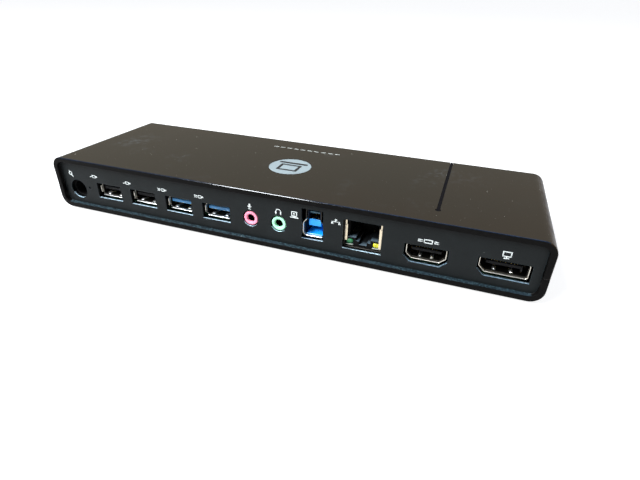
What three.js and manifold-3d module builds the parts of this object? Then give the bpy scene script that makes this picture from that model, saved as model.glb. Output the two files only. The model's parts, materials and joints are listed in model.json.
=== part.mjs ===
// A laptop docking station: a flat glossy case with a row of sockets along one long side.
//
// Units are millimetres. The dock stands on z = 0 with its middle over the origin. X runs along
// the port face, the port face looks along -Y and +Z is up. Pieces are drawn in the case's own
// axes, where y = 0 is the port-side rim and z = 0 is the underside of the case; the last lines
// put the whole case on its feet.

import * as THREE from 'three';
import { mergeVertices } from 'three/addons/utils/BufferGeometryUtils.js';
import Module from 'manifold-3d';

const wasm = await Module();
wasm.setup();

// ---------------------------------------------------------------------------- driving dimensions

const CASE = { width: 222.2, depth: 68, height: 25.3, corner: 5.4, wall: 2.4, partingZ: 10.5 };
const PANEL = { recess: 2, thickness: 1.6, gap: 0.1 };
const LEDGE = { rise: 1, depth: 1.2, overlap: 0.4 };
const TONGUE = { height: 1.2, thickness: 1, gap: 0.1, endMargin: 8, rootDrop: 0.5 };
const BOARD = { halfWidth: 104, front: 5, back: 62.5, top: 5.7, thickness: 1.6, corner: 2, holeGap: 0.3 };
const FOOT = { length: 28, width: 8, height: 1.2, pocket: 0.6, x: 86, fit: 0.2 };
const SCREW = {
  shank: 1.2, head: 2.3, headHeight: 0.9, hole: 1.35, counterbore: 2.6, tip: 16, slotWidth: 0.5, slotDepth: 0.5,
};
const POST = { radius: 3, pilotTop: 17.5 };
const BADGE = { x: -1, y: 32.2, radius: 9.9, thickness: 0.35, sink: 0.05, gap: 0.08 };
const LIGHT = { x: 69.1, end: 10.9, width: 1.1, dotRadius: 1.05, depth: 0.8, sink: 0.15, stemY: 60, gap: 0.1 };
const LABEL = { width: 62, depth: 30, corner: 1.2, thickness: 0.15, pocket: 0.3, fit: 0.3, y: 34 };
const HEAT_SINK = { width: 30, depth: 26, thickness: 1.4, fins: 8, finThickness: 1, finHeight: 5 };
const PINHOLE = { x: -93.55, z: 11.2, radius: 0.6 };

// Screws sit between the sockets on the port side, so the two sides aren't mirror images.
const SCREW_PLACES = [
  { x: -91.7, y: 9.5 },
  { x: 81.2, y: 9.5 },
  { x: -91.7, y: 58.5 },
  { x: 91.7, y: 58.5 },
];

// Sockets. MOUTH_Y is how far behind the rim their front edges lie. Positions are of their middles.
const MOUTH_Y = 3.8;
const SHELL_WALL = 0.32;
const SEAT_GAP = 0.06;
const LEG = { top: -0.65, front: 2.5, fromBack: 3, length: 1.6 };
const USB = {
  firstX: -81.69, pitch: 19.38, count: 4, z: 10.84,
  width: 12.5, height: 5.12, depth: 14, cutWidth: 13.85, cutHeight: 7.4,
  tongue: { width: 11.2, z: [0.1, 1.95], front: 1.25, root: 9.4 },
};
const HOST = {
  x: 21.5, z: 13.65, halfWidth: 4.3, neck: 2.9, halfHeight: 5.9, shoulder: -0.6, neckStart: 1.2,
  bevel: 0.85, depth: 16, cutWidth: 9.4, cutHeight: 13.6, lining: 0.5, front: 0.7, root: 11.5,
  mainTongue: { halfWidth: 2.8, front: 1.6, z: [-2.1, 1] },
  fastTongue: { halfWidth: 2.2, front: 2.2, z: [3.4, 4.4] },
};
const ETHERNET = {
  x: 42.5, z: 12.45, halfWidth: 7.85, halfHeight: 6.4, depth: 16.5, cutWidth: 16, cutHeight: 13,
};
const HDMI = {
  x: 67.65, z: 9.63, halfWidth: 7.3, halfHeight: 2.75, bevel: 2.1, bevelRise: 1.89, depth: 12, cutGap: 1.1,
  tongue: { width: 11.6, z: [-0.1, 1.35], front: 1.25, root: 8.5 },
};
const DISPLAYPORT = {
  x: 95.9, z: 9.93, halfWidth: 8.4, halfHeight: 2.75, bevel: 2.2, depth: 14, cutGap: 1,
  tongue: { width: 13, z: [-0.1, 1.35], front: 1.25, root: 10 },
};
const POWER = {
  x: -100.4, z: 9.6, halfWidth: 5.4, halfHeight: 4.9, bore: 3.7, depth: 15, backWall: 3, hole: 4.65,
  pin: 0.95, pinFront: 3.4,
};
const AUDIO = {
  xs: [-6.7, 6.4], z: 11.25, halfWidth: 4, top: 4, front: 2.2, nose: 3.15, bore: 1.8, depth: 13, hole: 3.7,
  backWall: 1,
};

// The network socket's plug cavity, its two lamps, and its sprung contacts with their bending line.
const CAVITY = { halfWidth: 5.9, bottom: -2.2, top: 4.7, front: 0.6, back: 13 };
const LATCH = { wideHalf: 3.1, wideDrop: 1.4, narrowHalf: 1.7, narrowDrop: 2.9 };
const CONTACT_POCKET = { halfWidth: 4.8, front: 2.8, rise: 0.95 };
const LAMP = { width: 3, height: 2.1, depth: 3.5, x: 5.6, z: -4.1 };
const CONTACTS = {
  count: 8, pitch: 1.02, width: 0.45, thickness: 0.35, length: 8.4, slope: 14, pivotY: 3.6, pivotZ: 5.15,
  rootFront: -0.4, rootBack: 0.5, rootHalf: 0.3,
};

// The three leaf springs bend at their back ends; swing is the room behind each one's free end.
const LEAF = {
  thickness: 0.3, length: 5.5, halfHeight: 0.8, bump: 0.9, bite: 0.35, offset: 0.45, swing: 0.6,
  root: 0.6, tail: 0.3, sideGap: 0.3, frontGap: 1.2,
};

// Parts on the board: the middle of each, its width, depth and height, and how high it is lifted.
const CHIP_HEIGHT = 1.4;
const PAD_HEIGHT = 0.6;
const VIDEO_PLACE = [-8, 40];
const COMPONENTS = [
  { name: 'video_chip', look: 'chip', place: VIDEO_PLACE, size: [20, 20, CHIP_HEIGHT] },
  { name: 'thermal_pad', look: 'pad', place: VIDEO_PLACE, size: [18, 18, PAD_HEIGHT], lift: CHIP_HEIGHT },
  { name: 'memory_chip', look: 'chip', place: [20, 42], size: [9, 13, 1.1] },
  { name: 'usb_hub_chip', look: 'chip', place: [-46, 33], size: [10, 10, 1] },
  { name: 'network_chip', look: 'chip', place: [44, 42], size: [8, 8, 1] },
  { name: 'network_transformer', look: 'black', place: [43, 29], size: [15, 10, 5] },
  { name: 'audio_chip', look: 'chip', place: [16, 25], size: [6, 6, 0.9] },
  { name: 'crystal', look: 'steel', place: [30, 50], size: [11, 4.6, 3.4] },
  { name: 'power_inductor_1', look: 'ferrite', place: [-82, 36], size: [8, 8, 4] },
  { name: 'power_inductor_2', look: 'ferrite', place: [-70, 36], size: [8, 8, 4] },
  { name: 'status_lamp', look: 'whiteLamp', place: [LIGHT.x, LIGHT.stemY], size: [3, 3, 1.8] },
  { name: 'power_lamp', look: 'whiteLamp', place: [PINHOLE.x, 5.9], size: [1.8, 1.6, 6.4] },
];
const CAPACITOR = { radius: 3.1, height: 7.5, places: [[-95, 28], [-95, 36], [-95, 44]] };

const ARC_STEPS = 4;
const ROUND_STEPS = 24;

// ----------------------------------------------------------------------------------- looks

const LOOKS = {
  gloss: { color: 0x1d1b19, roughness: 0.12, metalness: 0 },
  textured: { color: 0x1b1d20, roughness: 0.6, metalness: 0 },
  panel: { color: 0x23272b, roughness: 0.7, metalness: 0 },
  rubber: { color: 0x17171a, roughness: 0.9, metalness: 0 },
  steel: { color: 0xb9bcc0, roughness: 0.3, metalness: 1 },
  brass: { color: 0xc9a24e, roughness: 0.35, metalness: 1 },
  aluminium: { color: 0xa9adb0, roughness: 0.4, metalness: 1 },
  badge: { color: 0xb6c6cd, roughness: 0.35, metalness: 0.4 },
  smoked: { color: 0x08080c, roughness: 0.15, metalness: 0 },
  board: { color: 0x14502c, roughness: 0.5, metalness: 0 },
  chip: { color: 0x1a1a1c, roughness: 0.6, metalness: 0 },
  ferrite: { color: 0x3a3a3d, roughness: 0.7, metalness: 0 },
  pad: { color: 0x8c9299, roughness: 0.8, metalness: 0 },
  label: { color: 0xc9ccce, roughness: 0.6, metalness: 0 },
  black: { color: 0x121316, roughness: 0.5, metalness: 0 },
  blue: { color: 0x2f74b8, roughness: 0.4, metalness: 0 },
  brightBlue: { color: 0x1482dc, roughness: 0.35, metalness: 0 },
  slate: { color: 0x4d5965, roughness: 0.5, metalness: 0 },
  pink: { color: 0xe9879f, roughness: 0.4, metalness: 0 },
  green: { color: 0xb4f0c8, roughness: 0.4, metalness: 0 },
  greenLamp: { color: 0x2f7d4b, roughness: 0.25, metalness: 0 },
  yellowLamp: { color: 0xd4c21e, roughness: 0.25, metalness: 0 },
  whiteLamp: { color: 0xe4e6e0, roughness: 0.3, metalness: 0 },
};

// ------------------------------------------------------------------------------- solid helpers

/** A closed three.js geometry as a solid that can be joined and cut. */
function solidOf(geometry) {
  const bare = geometry.clone();
  bare.deleteAttribute('normal');
  bare.deleteAttribute('uv');
  const merged = mergeVertices(bare, 1e-5);
  return new wasm.Manifold(new wasm.Mesh({
    numProp: 3,
    vertProperties: new Float32Array(merged.attributes.position.array),
    triVerts: new Uint32Array(merged.index.array),
  }));
}

/** A named mesh with its own material, made from a solid. */
function meshOf(name, solid, look) {
  const { vertProperties, triVerts } = solid.getMesh();
  const geometry = new THREE.BufferGeometry();
  geometry.setAttribute('position', new THREE.BufferAttribute(vertProperties, 3));
  geometry.setIndex(new THREE.BufferAttribute(triVerts, 1));
  geometry.computeVertexNormals();
  const mesh = new THREE.Mesh(geometry, new THREE.MeshStandardMaterial(LOOKS[look]));
  mesh.name = name;
  return mesh;
}

/** A box between two limits on each axis. */
function block([x0, x1], [y0, y1], [z0, z1]) {
  const geometry = new THREE.BoxGeometry(x1 - x0, y1 - y0, z1 - z0);
  geometry.translate((x0 + x1) / 2, (y0 + y1) / 2, (z0 + z1) / 2);
  return solidOf(geometry);
}

/** A round bar along Y, through the point (x, z). */
function barY(radius, [y0, y1], x = 0, z = 0) {
  const geometry = new THREE.CylinderGeometry(radius, radius, y1 - y0, ROUND_STEPS);
  geometry.translate(x, (y0 + y1) / 2, z);
  return solidOf(geometry);
}

/** A round bar along Z, through the point (x, y). */
function barZ(radius, [z0, z1], x = 0, y = 0) {
  const geometry = new THREE.CylinderGeometry(radius, radius, z1 - z0, ROUND_STEPS);
  geometry.rotateX(Math.PI / 2);
  geometry.translate(x, y, (z0 + z1) / 2);
  return solidOf(geometry);
}

/** A flat outline drawn in X and Z, swept along Y. */
function sweepY(shape, [y0, y1]) {
  const options = { depth: y1 - y0, bevelEnabled: false, curveSegments: ARC_STEPS };
  const geometry = new THREE.ExtrudeGeometry(shape, options);
  geometry.rotateX(Math.PI / 2);
  geometry.translate(0, y1, 0);
  return solidOf(geometry);
}

/** A flat outline drawn in X and Y, swept along Z. */
function sweepZ(shape, [z0, z1]) {
  const options = { depth: z1 - z0, bevelEnabled: false, curveSegments: ARC_STEPS };
  const geometry = new THREE.ExtrudeGeometry(shape, options);
  geometry.translate(0, 0, z0);
  return solidOf(geometry);
}

/** A rectangle with round corners. */
function roundedRectangle(width, height, radius, x = 0, y = 0) {
  const outline = new THREE.Shape();
  const right = x + width / 2 - radius;
  const left = x - width / 2 + radius;
  const top = y + height / 2 - radius;
  const bottom = y - height / 2 + radius;
  outline.absarc(right, bottom, radius, -Math.PI / 2, 0);
  outline.absarc(right, top, radius, 0, Math.PI / 2);
  outline.absarc(left, top, radius, Math.PI / 2, Math.PI);
  outline.absarc(left, bottom, radius, Math.PI, Math.PI * 1.5);
  outline.closePath();
  return outline;
}

/** Corner points, taken anticlockwise, moved outwards by a distance. */
function grown(points, distance) {
  return points.map((point, index) => {
    const before = points[(index + points.length - 1) % points.length];
    const after = points[(index + 1) % points.length];
    const arriving = point.clone().sub(before).normalize();
    const leaving = after.clone().sub(point).normalize();
    const arrivingNormal = new THREE.Vector2(arriving.y, -arriving.x);
    const leavingNormal = new THREE.Vector2(leaving.y, -leaving.x);
    const reach = distance / (1 + arrivingNormal.dot(leavingNormal));
    return point.clone().add(arrivingNormal.add(leavingNormal).multiplyScalar(reach));
  });
}

/** Corner points of a rectangle about its middle, taken anticlockwise. */
function rectanglePoints(width, height) {
  const x = width / 2;
  const z = height / 2;
  return [[-x, -z], [x, -z], [x, z], [-x, z]].map(([a, b]) => new THREE.Vector2(a, b));
}

/** The pieces of one socket in a group whose origin is the middle of its mouth. */
function socketGroup(place, ...pieces) {
  const group = new THREE.Group();
  group.position.set(place.x, MOUTH_Y, place.z);
  group.add(...pieces);
  return group;
}

// ------------------------------------------------------------------------------------ covers

/** The case's round-cornered section, moved inwards from the outer surface by an inset. */
function caseSection(inset) {
  const { width, height, corner } = CASE;
  return roundedRectangle(width - 2 * inset, height - 2 * inset, corner - inset, 0, height / 2);
}

/** A sleeve between two insets of the case's section. */
function caseSleeve(outer, inner, [y0, y1]) {
  return sweepY(caseSection(outer), [y0, y1]).subtract(sweepY(caseSection(inner), [y0 - 1, y1 + 1]));
}

/** The open tube of the case, with the ledges that the two end panels rest against. */
function caseTube() {
  const panelBack = PANEL.recess + PANEL.thickness + PANEL.gap / 2;
  const rootInset = CASE.wall - LEDGE.overlap;
  const tipInset = CASE.wall + LEDGE.rise;
  const portLedge = caseSleeve(rootInset, tipInset, [panelBack, panelBack + LEDGE.depth]);
  const frontEnd = CASE.depth - panelBack;
  const frontLedge = caseSleeve(rootInset, tipInset, [frontEnd - LEDGE.depth, frontEnd]);
  return caseSleeve(0, CASE.wall, [0, CASE.depth]).add(portLedge).add(frontLedge);
}

/** Everything on one side of the height where the two covers meet. */
function halfSpace(above) {
  const limits = above ? [CASE.partingZ, CASE.height + 1] : [-1, CASE.partingZ];
  return block([-CASE.width, CASE.width], [-1, CASE.depth + 1], limits);
}

/** The strips along both side walls that key the lower cover into the upper one. */
function keyStrips(gap) {
  const outer = CASE.width / 2 - CASE.wall + TONGUE.thickness + gap;
  const inner = CASE.width / 2 - CASE.wall - gap;
  const along = [TONGUE.endMargin - gap, CASE.depth - TONGUE.endMargin + gap];
  const up = [CASE.partingZ - TONGUE.rootDrop * (gap ? 2 : 1), CASE.partingZ + TONGUE.height + gap];
  return block([inner, outer], along, up).add(block([-outer, -inner], along, up));
}

/** The long groove for the light strip, or the strip itself when the gap is nothing. */
function lightStrip(gap, top) {
  const bottom = CASE.height - LIGHT.depth - gap;
  const half = LIGHT.width / 2 + gap;
  const along = [LIGHT.end, CASE.depth + (gap ? 1 : -0.1)];
  const strip = block([LIGHT.x - half, LIGHT.x + half], along, [bottom, top]);
  const dot = barZ(LIGHT.dotRadius + gap, [bottom, top], LIGHT.x, LIGHT.end);
  return strip.add(dot);
}

/** The glossy upper shell: top and side walls, screw posts, badge pocket and light groove. */
function topCover() {
  let cover = caseTube().intersect(halfSpace(true));
  const ceiling = CASE.height - CASE.wall;
  for (const { x, y } of SCREW_PLACES) {
    cover = cover.add(barZ(POST.radius, [BOARD.top, ceiling + 0.5], x, y));
  }
  for (const { x, y } of SCREW_PLACES) {
    cover = cover.subtract(barZ(SCREW.hole, [BOARD.top - 1, POST.pilotTop], x, y));
  }
  const badgeFloor = CASE.height - BADGE.sink - BADGE.thickness;
  const pocket = barZ(BADGE.radius + BADGE.gap, [badgeFloor, CASE.height + 1], BADGE.x, BADGE.y);
  const stemHole = barZ(LIGHT.dotRadius + LIGHT.gap, [ceiling - 1, CASE.height - 0.2], LIGHT.x, LIGHT.stemY);
  cover = cover.subtract(keyStrips(TONGUE.gap)).subtract(pocket);
  cover = cover.subtract(lightStrip(LIGHT.gap, CASE.height + 1)).subtract(stemHole);
  return meshOf('top_cover', cover, 'gloss');
}

/** A long shape with round ends, for a foot or its pocket. */
function footOutline(extra) {
  return roundedRectangle(FOOT.length + extra, FOOT.width + extra, (FOOT.width + extra) / 2);
}

/** The four places of the feet, over the screws. */
function footPlaces() {
  return [SCREW_PLACES[0].y, SCREW_PLACES[2].y].flatMap((y) => [{ x: -FOOT.x, y }, { x: FOOT.x, y }]);
}

/** The round-cornered outline of the label, grown for its pocket. */
function labelOutline(extra) {
  return roundedRectangle(LABEL.width + 2 * extra, LABEL.depth + 2 * extra, LABEL.corner + extra, 0, LABEL.y);
}

/** The textured lower tray: floor and low walls, board standoffs, foot and label pockets. */
function bottomCover() {
  let tray = caseTube().intersect(halfSpace(false)).add(keyStrips(0));
  const boardUnder = BOARD.top - BOARD.thickness;
  for (const { x, y } of SCREW_PLACES) {
    tray = tray.add(barZ(POST.radius, [CASE.wall - 0.5, boardUnder], x, y));
  }
  for (const { x, y } of footPlaces()) {
    tray = tray.subtract(sweepZ(footOutline(FOOT.fit * 2), [-1, FOOT.pocket]).translate([x, y, 0]));
  }
  const seat = FOOT.pocket + 0.1 + SCREW.headHeight;
  for (const { x, y } of SCREW_PLACES) {
    tray = tray.subtract(barZ(SCREW.counterbore, [0, seat], x, y));
    tray = tray.subtract(barZ(SCREW.hole, [0, boardUnder + 1], x, y));
  }
  const labelPocket = labelOutline(LABEL.fit);
  tray = tray.subtract(sweepZ(labelPocket, [-1, LABEL.pocket]));
  return meshOf('bottom_cover', tray, 'textured');
}

/** A self-tapping case screw, its head under a foot and its tip in a post of the upper cover. */
function caseScrew(name, { x, y }) {
  const headTop = FOOT.pocket + 0.1 + SCREW.headHeight;
  const head = barZ(SCREW.head, [headTop - SCREW.headHeight, headTop]);
  const reach = [-SCREW.head * 0.6, SCREW.head * 0.6];
  const narrow = [-SCREW.slotWidth / 2, SCREW.slotWidth / 2];
  const slotUp = [0, headTop - SCREW.slotDepth];
  const slot = block(reach, narrow, slotUp);
  const slotAcross = block(narrow, reach, slotUp);
  const shank = barZ(SCREW.shank, [headTop - 0.2, SCREW.tip]);
  const mesh = meshOf(name, head.add(shank).subtract(slot).subtract(slotAcross), 'steel');
  mesh.position.set(x, y, 0);
  return mesh;
}

/** A rubber foot, pressed into its pocket in the tray. */
function foot(name, { x, y }) {
  const mesh = meshOf(name, sweepZ(footOutline(0), [-FOOT.height, FOOT.pocket - 0.05]), 'rubber');
  mesh.position.set(x, y, 0);
  return mesh;
}

// ------------------------------------------------------------------------------------ panels

/** The outline of an end panel, a close fit inside the case. */
function panelOutline() {
  return caseSection(CASE.wall + PANEL.gap);
}

/** A straight-sided cutter right through the port panel, its middle at (x, z). */
function panelCutter(points, { x, z }) {
  const through = [PANEL.recess - 1, PANEL.recess + PANEL.thickness + 1];
  return sweepY(new THREE.Shape(points), through).translate([x, 0, z]);
}

/** A round cutter right through the port panel. */
function panelDrill(radius, { x, z }) {
  return barY(radius, [PANEL.recess - 1, PANEL.recess + PANEL.thickness + 1], x, z);
}

/** The recessed plate that all sockets look through. */
function portPanel() {
  const cutters = [
    panelDrill(POWER.hole, POWER),
    panelDrill(PINHOLE.radius, PINHOLE),
    ...AUDIO.xs.map((x) => panelDrill(AUDIO.hole, { x, z: AUDIO.z })),
    panelCutter(rectanglePoints(HOST.cutWidth, HOST.cutHeight), HOST),
    panelCutter(rectanglePoints(ETHERNET.cutWidth, ETHERNET.cutHeight), ETHERNET),
    panelCutter(grown(hdmiPoints(), HDMI.cutGap), HDMI),
    panelCutter(grown(displayportPoints(), DISPLAYPORT.cutGap), DISPLAYPORT),
  ];
  for (let index = 0; index < USB.count; index += 1) {
    const place = { x: USB.firstX + index * USB.pitch, z: USB.z };
    cutters.push(panelCutter(rectanglePoints(USB.cutWidth, USB.cutHeight), place));
  }
  let panel = sweepY(panelOutline(), [PANEL.recess, PANEL.recess + PANEL.thickness]);
  for (const cutter of cutters) {
    panel = panel.subtract(cutter);
  }
  return meshOf('port_panel', panel, 'panel');
}

/** The plain recessed plate that closes the side opposite the sockets. */
function frontPanel() {
  const outside = CASE.depth - PANEL.recess;
  return meshOf('front_panel', sweepY(panelOutline(), [outside - PANEL.thickness, outside]), 'panel');
}

// --------------------------------------------------------------------------- small outer pieces

/** The round inlay in the top. */
function badge() {
  const top = CASE.height - BADGE.sink;
  const mesh = meshOf('badge', barZ(BADGE.radius, [top - BADGE.thickness, top]), 'badge');
  mesh.position.set(BADGE.x, BADGE.y, 0);
  return mesh;
}

/** The light strip in the top, with the stem that carries light up from the lamp on the board. */
function lightPipe() {
  const stemTop = CASE.height - LIGHT.depth + 0.2;
  const stem = barZ(LIGHT.dotRadius, [BOARD.top + 2.2, stemTop], LIGHT.x, LIGHT.stemY);
  return meshOf('light_pipe', lightStrip(0, CASE.height - LIGHT.sink).add(stem), 'smoked');
}

/** The blank label under the tray. */
function ratingLabel() {
  const solid = sweepZ(labelOutline(0), [LABEL.pocket - LABEL.thickness, LABEL.pocket]);
  return meshOf('rating_label', solid, 'label');
}

// -------------------------------------------------------------------------------- electronics

/** The circuit board, with holes for the screws and a notch round the power socket. */
function mainBoard() {
  const depth = BOARD.back - BOARD.front;
  const outline = roundedRectangle(2 * BOARD.halfWidth, depth, BOARD.corner, 0, BOARD.front + depth / 2);
  let board = sweepZ(outline, [BOARD.top - BOARD.thickness, BOARD.top]);
  for (const { x, y } of SCREW_PLACES) {
    board = board.subtract(barZ(SCREW.hole + BOARD.holeGap, [0, BOARD.top + 1], x, y));
  }
  const notchHalf = POWER.halfWidth + BOARD.holeGap;
  const notchEnd = MOUTH_Y + POWER.depth + 1.5;
  const notch = block([POWER.x - notchHalf, POWER.x + notchHalf], [0, notchEnd], [0, BOARD.top + 1]);
  return meshOf('main_board', board.subtract(notch), 'board');
}

/** A flat-sided component that stands on the board. */
function component({ name, look, place: [x, y], size: [width, depth, height], lift = 0 }) {
  const half = [width / 2, depth / 2];
  const up = [BOARD.top + lift, BOARD.top + lift + height];
  const mesh = meshOf(name, block([-half[0], half[0]], [-half[1], half[1]], up), look);
  mesh.position.set(x, y, 0);
  return mesh;
}

/** A finned heat sink over the video chip. */
function heatSink(place, base) {
  const { width, depth, thickness, fins, finThickness, finHeight } = HEAT_SINK;
  let sink = block([-width / 2, width / 2], [-depth / 2, depth / 2], [base, base + thickness]);
  for (let index = 0; index < fins; index += 1) {
    const x = -width / 2 + (index * (width - finThickness)) / (fins - 1);
    const up = [base + thickness - 0.1, base + thickness + finHeight];
    sink = sink.add(block([x, x + finThickness], [-depth / 2, depth / 2], up));
  }
  const mesh = meshOf('heat_sink', sink, 'aluminium');
  mesh.position.set(place[0], place[1], 0);
  return mesh;
}

/** A round capacitor standing on the board. */
function capacitor(name, [x, y]) {
  const mesh = meshOf(name, barZ(CAPACITOR.radius, [BOARD.top, BOARD.top + CAPACITOR.height]), 'aluminium');
  mesh.position.set(x, y, 0);
  return mesh;
}

/** Everything soldered to the board behind the sockets. */
function electronics() {
  return [
    mainBoard(),
    heatSink(VIDEO_PLACE, BOARD.top + CHIP_HEIGHT + PAD_HEIGHT),
    ...COMPONENTS.map(component),
    ...CAPACITOR.places.map((place, index) => capacitor(`capacitor_${index + 1}`, place)),
  ];
}

// ------------------------------------------------------------------------------ sockets with tongues

/** The opening of an HDMI socket: a rectangle with both lower corners cut off. */
function hdmiPoints() {
  const { halfWidth: x, halfHeight: z, bevel, bevelRise: rise } = HDMI;
  const corners = [[-x + bevel, -z], [x - bevel, -z], [x, -z + rise], [x, z], [-x, z], [-x, -z + rise]];
  return corners.map(([a, b]) => new THREE.Vector2(a, b));
}

/** The opening of a DisplayPort socket: a rectangle with one lower corner cut off. */
function displayportPoints() {
  const { halfWidth: x, halfHeight: z, bevel } = DISPLAYPORT;
  const corners = [[-x + bevel, -z], [x, -z], [x, z], [-x, z], [-x, -z + bevel]];
  return corners.map(([a, b]) => new THREE.Vector2(a, b));
}

/** The opening of the host socket: a wide lower part, sloping shoulders and a narrower top. */
function hostPoints() {
  const { halfWidth: x, neck, halfHeight: z, shoulder, neckStart, bevel } = HOST;
  const rightSide = [[x - bevel, -z], [x, -z + bevel], [x, shoulder], [neck, neckStart], [neck, z]];
  const leftSide = rightSide.map(([a, b]) => [-a, b]).reverse();
  return [...rightSide, ...leftSide].map(([a, b]) => new THREE.Vector2(a, b));
}

/** Four legs down a shell's side walls, which stand it on the board. */
function shellLegs(halfWidth, depth, z) {
  const up = [BOARD.top - z, LEG.top];
  const legs = [];
  for (const side of [-1, 1]) {
    for (const y of [LEG.front, depth - LEG.fromBack]) {
      const edge = side * halfWidth;
      const across = side > 0 ? [edge - SHELL_WALL, edge] : [edge, edge + SHELL_WALL];
      legs.push(block(across, [y, y + LEG.length], up));
    }
  }
  return legs;
}

/** A sheet-metal shell round an opening, closed at the back, standing on the board. */
function shell(name, points, depth, z) {
  let body = sweepY(new THREE.Shape(grown(points, SHELL_WALL)), [0, depth]);
  const halfWidth = Math.max(...points.map((point) => point.x)) + SHELL_WALL;
  for (const leg of shellLegs(halfWidth, depth, z)) {
    body = body.add(leg);
  }
  const inside = sweepY(new THREE.Shape(points), [-1, depth - SHELL_WALL]);
  return meshOf(name, body.subtract(inside), 'steel');
}

/** The moulding inside a shell: a block at the back and a flat tongue towards the mouth. */
function tongue(name, look, points, depth, { width, z, front, root }) {
  const back = depth - SHELL_WALL - SEAT_GAP;
  const seat = sweepY(new THREE.Shape(grown(points, -SEAT_GAP)), [root, back]);
  return meshOf(name, seat.add(block([-width / 2, width / 2], [front, root + 0.5], z)), look);
}

/** One USB socket for a peripheral; the tongue's colour tells the fast pair from the other. */
function usbPort(index) {
  const place = { x: USB.firstX + index * USB.pitch, z: USB.z };
  const points = rectanglePoints(USB.width, USB.height);
  const look = index < USB.count / 2 ? 'black' : 'blue';
  const number = index + 1;
  return socketGroup(
    place,
    shell(`usb_shell_${number}`, points, USB.depth, place.z),
    tongue(`usb_tongue_${number}`, look, points, USB.depth, USB.tongue),
  );
}

/** The HDMI socket. */
function hdmiPort() {
  const points = hdmiPoints();
  return socketGroup(
    HDMI,
    shell('hdmi_shell', points, HDMI.depth, HDMI.z),
    tongue('hdmi_tongue', 'black', points, HDMI.depth, HDMI.tongue),
  );
}

/** The DisplayPort socket. */
function displayportPort() {
  const points = displayportPoints();
  return socketGroup(
    DISPLAYPORT,
    shell('displayport_shell', points, DISPLAYPORT.depth, DISPLAYPORT.z),
    tongue('displayport_tongue', 'black', points, DISPLAYPORT.depth, DISPLAYPORT.tongue),
  );
}

/** The upright socket for the cable to the laptop: a lined shell with two tongues. */
function hostPort() {
  const points = hostPoints();
  const { lining, front, root, mainTongue, fastTongue } = HOST;
  const back = HOST.depth - SHELL_WALL - SEAT_GAP;
  let moulding = sweepY(new THREE.Shape(grown(points, -SEAT_GAP)), [front, back])
    .subtract(sweepY(new THREE.Shape(grown(points, -SEAT_GAP - lining)), [0, root]));
  for (const blade of [mainTongue, fastTongue]) {
    moulding = moulding.add(block([-blade.halfWidth, blade.halfWidth], [blade.front, root + 0.5], blade.z));
  }
  return socketGroup(
    HOST,
    shell('host_port_shell', points, HOST.depth, HOST.z),
    meshOf('host_port_insulator', moulding, 'brightBlue'),
  );
}

// ------------------------------------------------------------------------------- network socket

/** The metal can round the network socket. */
function ethernetShell() {
  const points = rectanglePoints(2 * (ETHERNET.halfWidth - SHELL_WALL), 2 * (ETHERNET.halfHeight - SHELL_WALL));
  return shell('ethernet_shell', points, ETHERNET.depth, ETHERNET.z);
}

/** The moulding of the network socket: plug cavity, stepped latch slot, lamp and contact pockets. */
function ethernetInsulator() {
  const side = ETHERNET.halfWidth - SHELL_WALL - SEAT_GAP;
  const rise = ETHERNET.halfHeight - SHELL_WALL - SEAT_GAP;
  const { halfWidth, bottom, top, front, back } = CAVITY;
  const inward = [0, back];
  let body = block([-side, side], [front, ETHERNET.depth - SHELL_WALL - SEAT_GAP], [-rise, rise]);
  body = body.subtract(block([-halfWidth, halfWidth], inward, [bottom, top]));
  const { wideHalf, wideDrop, narrowHalf, narrowDrop } = LATCH;
  body = body.subtract(block([-wideHalf, wideHalf], inward, [bottom - wideDrop, bottom + 1]));
  body = body.subtract(block([-narrowHalf, narrowHalf], inward, [bottom - narrowDrop, bottom]));
  const pocket = CONTACT_POCKET;
  const pocketUp = [top - 1, top + pocket.rise];
  body = body.subtract(block([-pocket.halfWidth, pocket.halfWidth], [pocket.front, back], pocketUp));
  for (const x of [-LAMP.x, LAMP.x]) {
    const half = LAMP.width / 2 + SEAT_GAP;
    const up = [LAMP.z - LAMP.height / 2 - SEAT_GAP, LAMP.z + LAMP.height / 2 + SEAT_GAP];
    body = body.subtract(block([x - half, x + half], [0, front + LAMP.depth], up));
  }
  return meshOf('ethernet_insulator', body, 'slate');
}

/** One of the two lamps beside the latch slot. */
function ethernetLamp(name, look, x) {
  const half = LAMP.width / 2;
  const along = [CAVITY.front + 0.1, CAVITY.front + LAMP.depth - 0.1];
  const up = [LAMP.z - LAMP.height / 2, LAMP.z + LAMP.height / 2];
  return meshOf(name, block([x - half, x + half], along, up), look);
}

/** The comb of sprung contacts under the cavity's roof, drawn about its bending line. */
function ethernetContacts() {
  const { count, pitch, width, thickness, length, slope, rootFront, rootBack, rootHalf } = CONTACTS;
  const reach = ((count - 1) * pitch + width) / 2;
  let comb = block([-reach, reach], [rootFront, rootBack], [-rootHalf, rootHalf]);
  for (let index = 0; index < count; index += 1) {
    const x = -reach + index * pitch;
    comb = comb.add(block([x, x + width], [0, length], [-thickness / 2, thickness / 2]));
  }
  const mesh = meshOf('ethernet_contacts', comb, 'brass');
  mesh.rotation.x = THREE.MathUtils.degToRad(-slope);
  mesh.position.set(0, CONTACTS.pivotY, CONTACTS.pivotZ);
  return mesh;
}

/** The network socket with its contacts and lamps. */
function ethernetPort() {
  return socketGroup(
    ETHERNET,
    ethernetShell(),
    ethernetInsulator(),
    ethernetContacts(),
    ethernetLamp('link_lamp', 'greenLamp', -LAMP.x),
    ethernetLamp('activity_lamp', 'yellowLamp', LAMP.x),
  );
}

// ---------------------------------------------------------------------------- round sockets

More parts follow.
